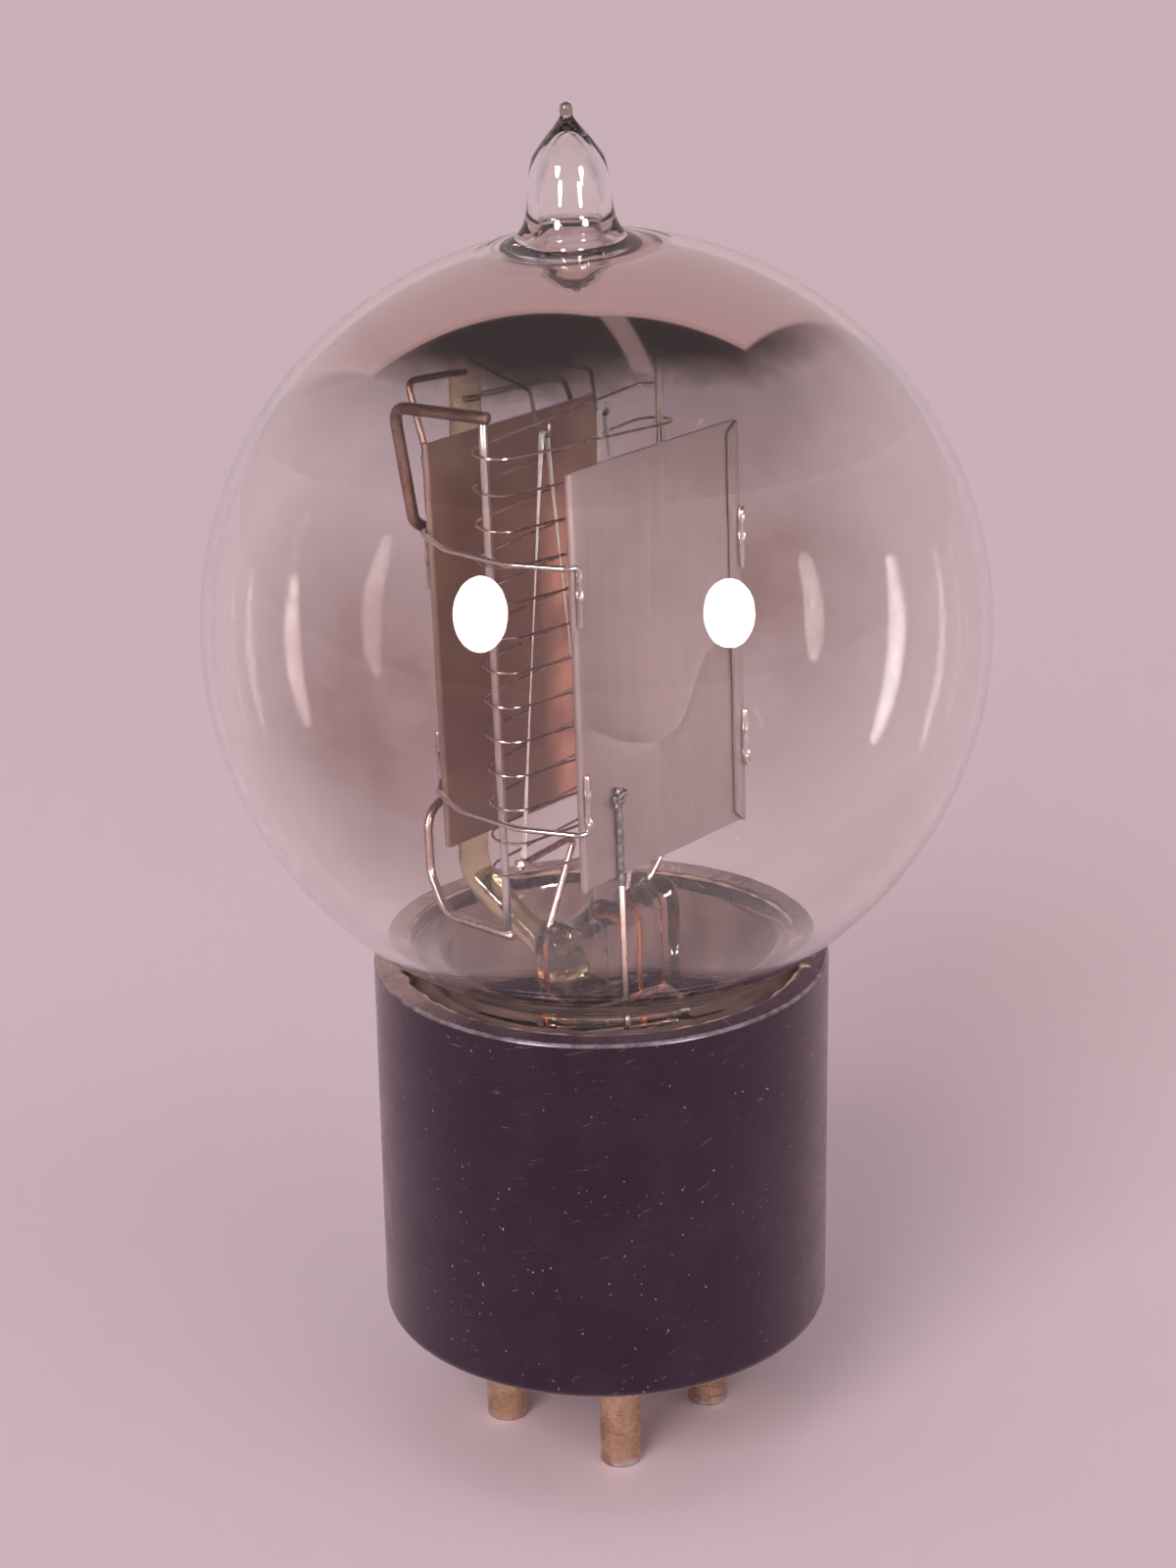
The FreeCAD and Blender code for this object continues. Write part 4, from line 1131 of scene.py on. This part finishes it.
stay_start = arbor_at(arbor_top[2] - 2.6)
stay_x = hem_w * 0.6 - plate_w / 2
stay_over = at(stay_x, arbor_y - 0.3, stay_start[2] + 0.5)
stay_y = hem_outer_y + stay_r
stay("plate_stay_left", "support_metal", support_metal, stay_start, stay_over, stay_x, stay_y)
stay_start = arbor_at(arbor_top[2] - 4.6)
stay_x = plate_w / 2 - 2 * hem_w
stay_over = at(stay_x + 1.2, arbor_y, stay_start[2] - 0.5)
stay_y = plate_outer_y + stay_r
stay("plate_stay_right", "tie_metal", tie_metal, stay_start, stay_over, stay_x, stay_y)

# Grid rods
# Two straight nickel rods between the plates that carry the grid wire.
rod_r = 0.31
rod_left_x = -plate_w / 2 - 0.825
rod_right_x = plate_w / 2 - 0.525
rod_left_span = (7.15 - inner_r, inner_r - 10.95)
rod_right_span = (8.35 - inner_r, inner_r - 7.85)
rod_metal = metal(
    "rod_metal", (0.70, 0.63, 0.61, 1), (0.45, 0.35, 0.33, 1), 120.0, 0.3, (0.28, 0.42), 0.000006)
for name, x, span in (("left", rod_left_x, rod_left_span), ("right", rod_right_x, rod_right_span)):
    rings = [tube(finely(np.array([at(x, 0, z) for z in span]), 3), rod_r, 20)]
    label = "grid_upright_" + name
    make_piece(label, rings, in_mount, rod_metal, "rod_metal", "grid_rod_" + name)

# Grid winding
# One fine wire wound down round both rods as a flattened helix of thirteen turns, pinched
# to each rod as it passes.
winding_r = 0.1
winding_half = 1.7
winding_turns = 13
winding_top = inner_r - 11.88
winding_bottom = 10.5 - inner_r
winding_metal = metal(
    "winding_metal", (0.62, 0.50, 0.47, 1), (0.30, 0.20, 0.18, 1), 200.0, 0.4, (0.2, 0.4), 0.000004)


def winding_path(steps=14):
    """Half loops about the two ends in turn, joined by straight runs, falling evenly."""
    clear = rod_r + winding_r + fit_gap
    ends = (rod_right_x + clear - winding_half, rod_left_x - clear + winding_half)
    swing = np.linspace(-np.pi / 2, np.pi / 2, steps + 1)
    half_loop = np.stack([np.cos(swing), np.sin(swing), 0 * swing], axis=1) * winding_half
    right_loop = half_loop + (ends[0], 0, 0)
    left_loop = half_loop * (-1, -1, 1) + (ends[1], 0, 0)
    path = np.vstack([right_loop, left_loop] * winding_turns + [right_loop])
    path = path[steps // 2:-(steps // 2)]
    gone = np.concatenate([[0], np.cumsum(np.linalg.norm(np.diff(path, axis=0), axis=1))])
    path[:, 2] = winding_top - (winding_top - winding_bottom) * gone / gone[-1]
    return finely(path, 3)


rings = [tube(winding_path(), winding_r, 8)]
make_piece("grid_wire", rings, in_mount, winding_metal, "winding_metal", "grid_winding")

# Grid supports
# The left rod hangs between a thick wire, bent over from its top to the glass rod, and a
# thinner one from its foot. A fine wire from the glass rod's top wraps twice round the right rod.
support_r = 0.45
lower_r = 0.35
wrap_r = 0.15
wrap_turns = 2
wrap_pitch = 0.75
arbor_bite = 0.9
top = rod_left_span[1] + fit_gap + support_r
end = arbor_at(tie_upper - 1.8)
route = [at(rod_left_x, -support_r, top), at(rod_left_x + 0.1, arbor_y - 0.2, top - 0.6),
         at(rod_left_x + 1.6, arbor_y, tie_upper + 0.3), end + at(-arbor_r - 1.5, 0, 0.2),
         end + at(arbor_bite - arbor_r, 0, 0)]
rings = [wire(route, support_r, 1.5, sides=20, bend_steps=10)]
make_piece("grid_arm_upper", rings, in_mount, support_metal, "support_metal", "grid_support_upper")

low = rod_left_span[0] - fit_gap - lower_r
end = arbor_at(tie_lower - 1.5)
route = [at(rod_left_x, -lower_r, low), at(rod_left_x, arbor_y - 2.7, low - 0.2),
         at(rod_left_x + 0.7, arbor_y - 0.5, low + 2.4), at(rod_left_x + 1.2, arbor_y, end[2] - 0.8),
         end + at(arbor_bite - arbor_r, 0, 0)]
rings = [wire(route, lower_r, 2.4, sides=18, bend_steps=10)]
make_piece("grid_arm_lower", rings, in_mount, lead_metal, "lead_metal", "grid_support_lower")

wrap_away = rod_r + wrap_r + fit_gap
start = arbor_at(arbor_top[2] - 0.8)
heading = math.atan2(start[1], start[0] - rod_right_x) + np.pi / 2
gone = np.linspace(0, wrap_turns, 32 * wrap_turns)
swing = heading + 2 * np.pi * gone
wrap_x = rod_right_x + wrap_away * np.cos(swing)
wrap_z = rod_right_span[1] - 2 * wrap_r - wrap_pitch * gone
wrap = np.stack([wrap_x, wrap_away * np.sin(swing), wrap_z], axis=1)
route = np.vstack([start + at(arbor_r - arbor_bite, 0, 0), wrap])
rings = [tube(finely(route, 2), wrap_r, 10)]
make_piece("grid_arm_right", rings, in_mount, tie_metal, "tie_metal", "grid_support_right")

# Filament
# One oxide-coated ribbon hung in an M over two hooks and held down at its middle. Its legs
# are twisted a little between the folds, as thin ribbon twists when it is drawn tight.
hook_r = 0.15
hook_half = 0.55
hook_tail = 0.9
hook_bend = 0.3
ribbon_w = 0.55
ribbon_t = 0.12
hook_left = at(-3.8, 0, inner_r - 13.05)
hook_right = at(2.3, 0, inner_r - 12.75)
filament_ends = (1.175 - plate_w / 2, plate_w / 2 - 2.475)
leg_twists = (-0.8, 0.75, -0.7, 0.65)
oxide_dark = (0.58, 0.53, 0.52, 1)
oxide_pale = (0.80, 0.77, 0.76, 1)
filament_oxide, tree, shader = new_material("filament_oxide")
crust = noise(tree, 1400.0, 4, 0.65)
colour = blend(tree, remap(tree, crust, 0.35, 0.65), oxide_dark, oxide_pale)
tree.links.new(colour, shader.inputs["Base Color"])
shader.inputs["Roughness"].default_value = 0.55
emboss(tree, shader, crust, 0.5, 0.00003)


def ribbon_rings():
    """The ribbon's legs and half-round folds in the XZ plane, the width turned from Y by the twist."""
    fold_r = hook_r + ribbon_t / 2 + fit_gap
    swing = np.linspace(np.pi, 0, 9)
    over = np.stack([np.cos(swing), 0 * swing, np.sin(swing)], axis=1) * fold_r
    folds = [hook_left + over, filament_foot + over * (1, 1, -1), hook_right + over]
    ends = [at(filament_ends[0], 0, filament_foot[2]), at(filament_ends[1], 0, filament_foot[2])]
    starts = [ends[0]] + [fold[-1] for fold in folds]
    stops = [fold[0] for fold in folds] + [ends[1]]
    share = np.linspace(0, 1, 18)[1:-1, None]
    path, twist = [ends[:1]], [[0]]
    for k, turned_by in enumerate(leg_twists):
        path.append(starts[k] + (stops[k] - starts[k]) * share)
        twist.append(turned_by * np.sin(np.pi * share[:, 0]) ** 0.7)
        path.append(folds[k] if k < 3 else ends[1:])
        twist.append(np.zeros(len(path[-1])))
    path, twist = np.vstack(path), np.concatenate(twist)[:, None]
    along = directions(path)
    depth = np.cross(along, (0.0, 1.0, 0.0))
    wide = np.cos(twist) * (0.0, 1.0, 0.0) + np.sin(twist) * depth
    thick = np.cross(along, wide)
    corner = np.array(((1, 0.3), (0.8, 1), (-0.8, 1), (-1, 0.3)))
    corner = np.vstack([corner, -corner]) * (ribbon_w / 2, ribbon_t / 2)
    rings = path[:, None] + corner[:, :1] * wide[:, None] + corner[:, 1:] * thick[:, None]
    ends = [np.broadcast_to(path[k], (1,) + rings.shape[1:]) for k in (0, -1)]
    return np.concatenate([ends[0], rings, ends[1]])


rings = [ribbon_rings()]
make_piece("filament_strip", rings, in_mount, filament_oxide, "filament_oxide", "filament_ribbon")

# Filament hooks and anchor
# Fine dark wires: each hook passes under a fold, rises, kinks and goes back into the glass
# rod, and the anchor stands up from the press and hooks over the middle fold.
hook_metal = metal(
    "hook_metal", (0.42, 0.38, 0.40, 1), (0.17, 0.14, 0.16, 1), 800.0, 0.5, (0.25, 0.5))


def hook_route(seat, kink_x, below_top):
    """From the hook's tail under the fold at its seat, up to a kink and into the glass rod."""
    kink = at(kink_x, hook_half, 3.3)
    end = arbor_at(arbor_top[2] - below_top) + at(0, arbor_bite - arbor_r, 0)
    tail, near, far = at(0, -hook_half, hook_tail), at(0, -hook_half, 0), at(0, hook_half, 0)
    return [seat + tail, seat + near, seat + far, seat + kink, end]


for name, seat, kink_x, below in (("left", hook_left, -0.7, 1.6), ("right", hook_right, -0.4, 1.1)):
    rings = [wire(hook_route(seat, kink_x, below), hook_r, hook_bend, 1, 12)]
    label = "filament_hook_" + name
    make_piece(label + "_wire", rings, in_mount, hook_metal, "hook_metal", label)

route = [at(filament_foot[0], hook_half, press_foot + 0.5), filament_foot + at(0, hook_half, 0),
         filament_foot + at(0, -hook_half, 0), filament_foot + at(0, -hook_half, -hook_tail)]
rings = [wire(route, hook_r, hook_bend, 1, 12)]
make_piece("filament_hold", rings, in_mount, hook_metal, "hook_metal", "filament_anchor")

# Leads through the press
# Three nickel wires come up out of the press: two folded over to the filament's ends and
# one to the right grid rod. Each ends in a bright weld.
lead_end = press_foot - 4.5
end_z = filament_foot[2] - fit_gap - lead_r
grid_x = rod_right_x - rod_r - lead_r - 0.02
lead_bend = 0.6
grid_lead_bend = 0.8
lead_routes = (
    ("filament_lead_left", lead_bend, [
        at(lead_left_x, 0, lead_end), at(lead_left_x, 0, press_top),
        at(filament_foot[0] - 2, 0, end_z + 0.3), at(filament_ends[0] - 0.4, 0, end_z - 0.2)]),
    ("filament_lead_right", lead_bend, [
        at(lead_right_x, 0, lead_end), at(lead_right_x, 0, press_top),
        at(lead_right_x + 1.4, 0, end_z - 0.4), at(filament_ends[1] + 0.4, 0, end_z)]),
    ("grid_lead", grid_lead_bend, [
        at(lead_grid_x, 0, lead_end), at(lead_grid_x, 0, press_top + 0.3),
        at(grid_x, 0, rod_right_span[0]), at(grid_x, 0, rod_right_span[0] + 1.4)]),
)
for name, bend_r, route in lead_routes:
    rings = [wire(route, lead_r, bend_r)]
    make_piece(name + "_wire", rings, in_mount, sealed_metal, "lead_metal", name)
    lump = [blob(route[-1], (0.42, 0.36, 0.42), 0.9)]
    make_piece(name + "_weld", lump, in_mount, weld_metal, "lead_metal")

# Wires down to the pins
# Thin copper-coloured wires from the stem's outer leads down through the cup into the pins.
base_wire_r = 0.25
copper_wire = metal(
    "copper_wire", (0.66, 0.27, 0.18, 1), (0.33, 0.10, 0.07, 1), 700.0, 0.4, (0.25, 0.45))
wire_tops = (at(lead_right_x, 0, lead_end), at(lead_left_x, 0, lead_end), lead_low,
             at(lead_grid_x, 0, lead_end))
for name, (x, y), high in zip(pin_names, pin_places, wire_tops):
    start = np.array(in_mount @ Vector(high * MM)) / MM - (0, 0, 3 * fit_gap)
    drawn_in = at(start[0] * 0.7, start[1] * 0.7, start[2] - 5)
    route = [start, drawn_in, at(x, y, head_top + 3), at(x, y, solder_top)]
    label = "base_wire_" + name
    rings = [wire(route, base_wire_r, 2)]
    make_piece(label + "_run", rings, Matrix(), copper_wire, "copper_wire", label)
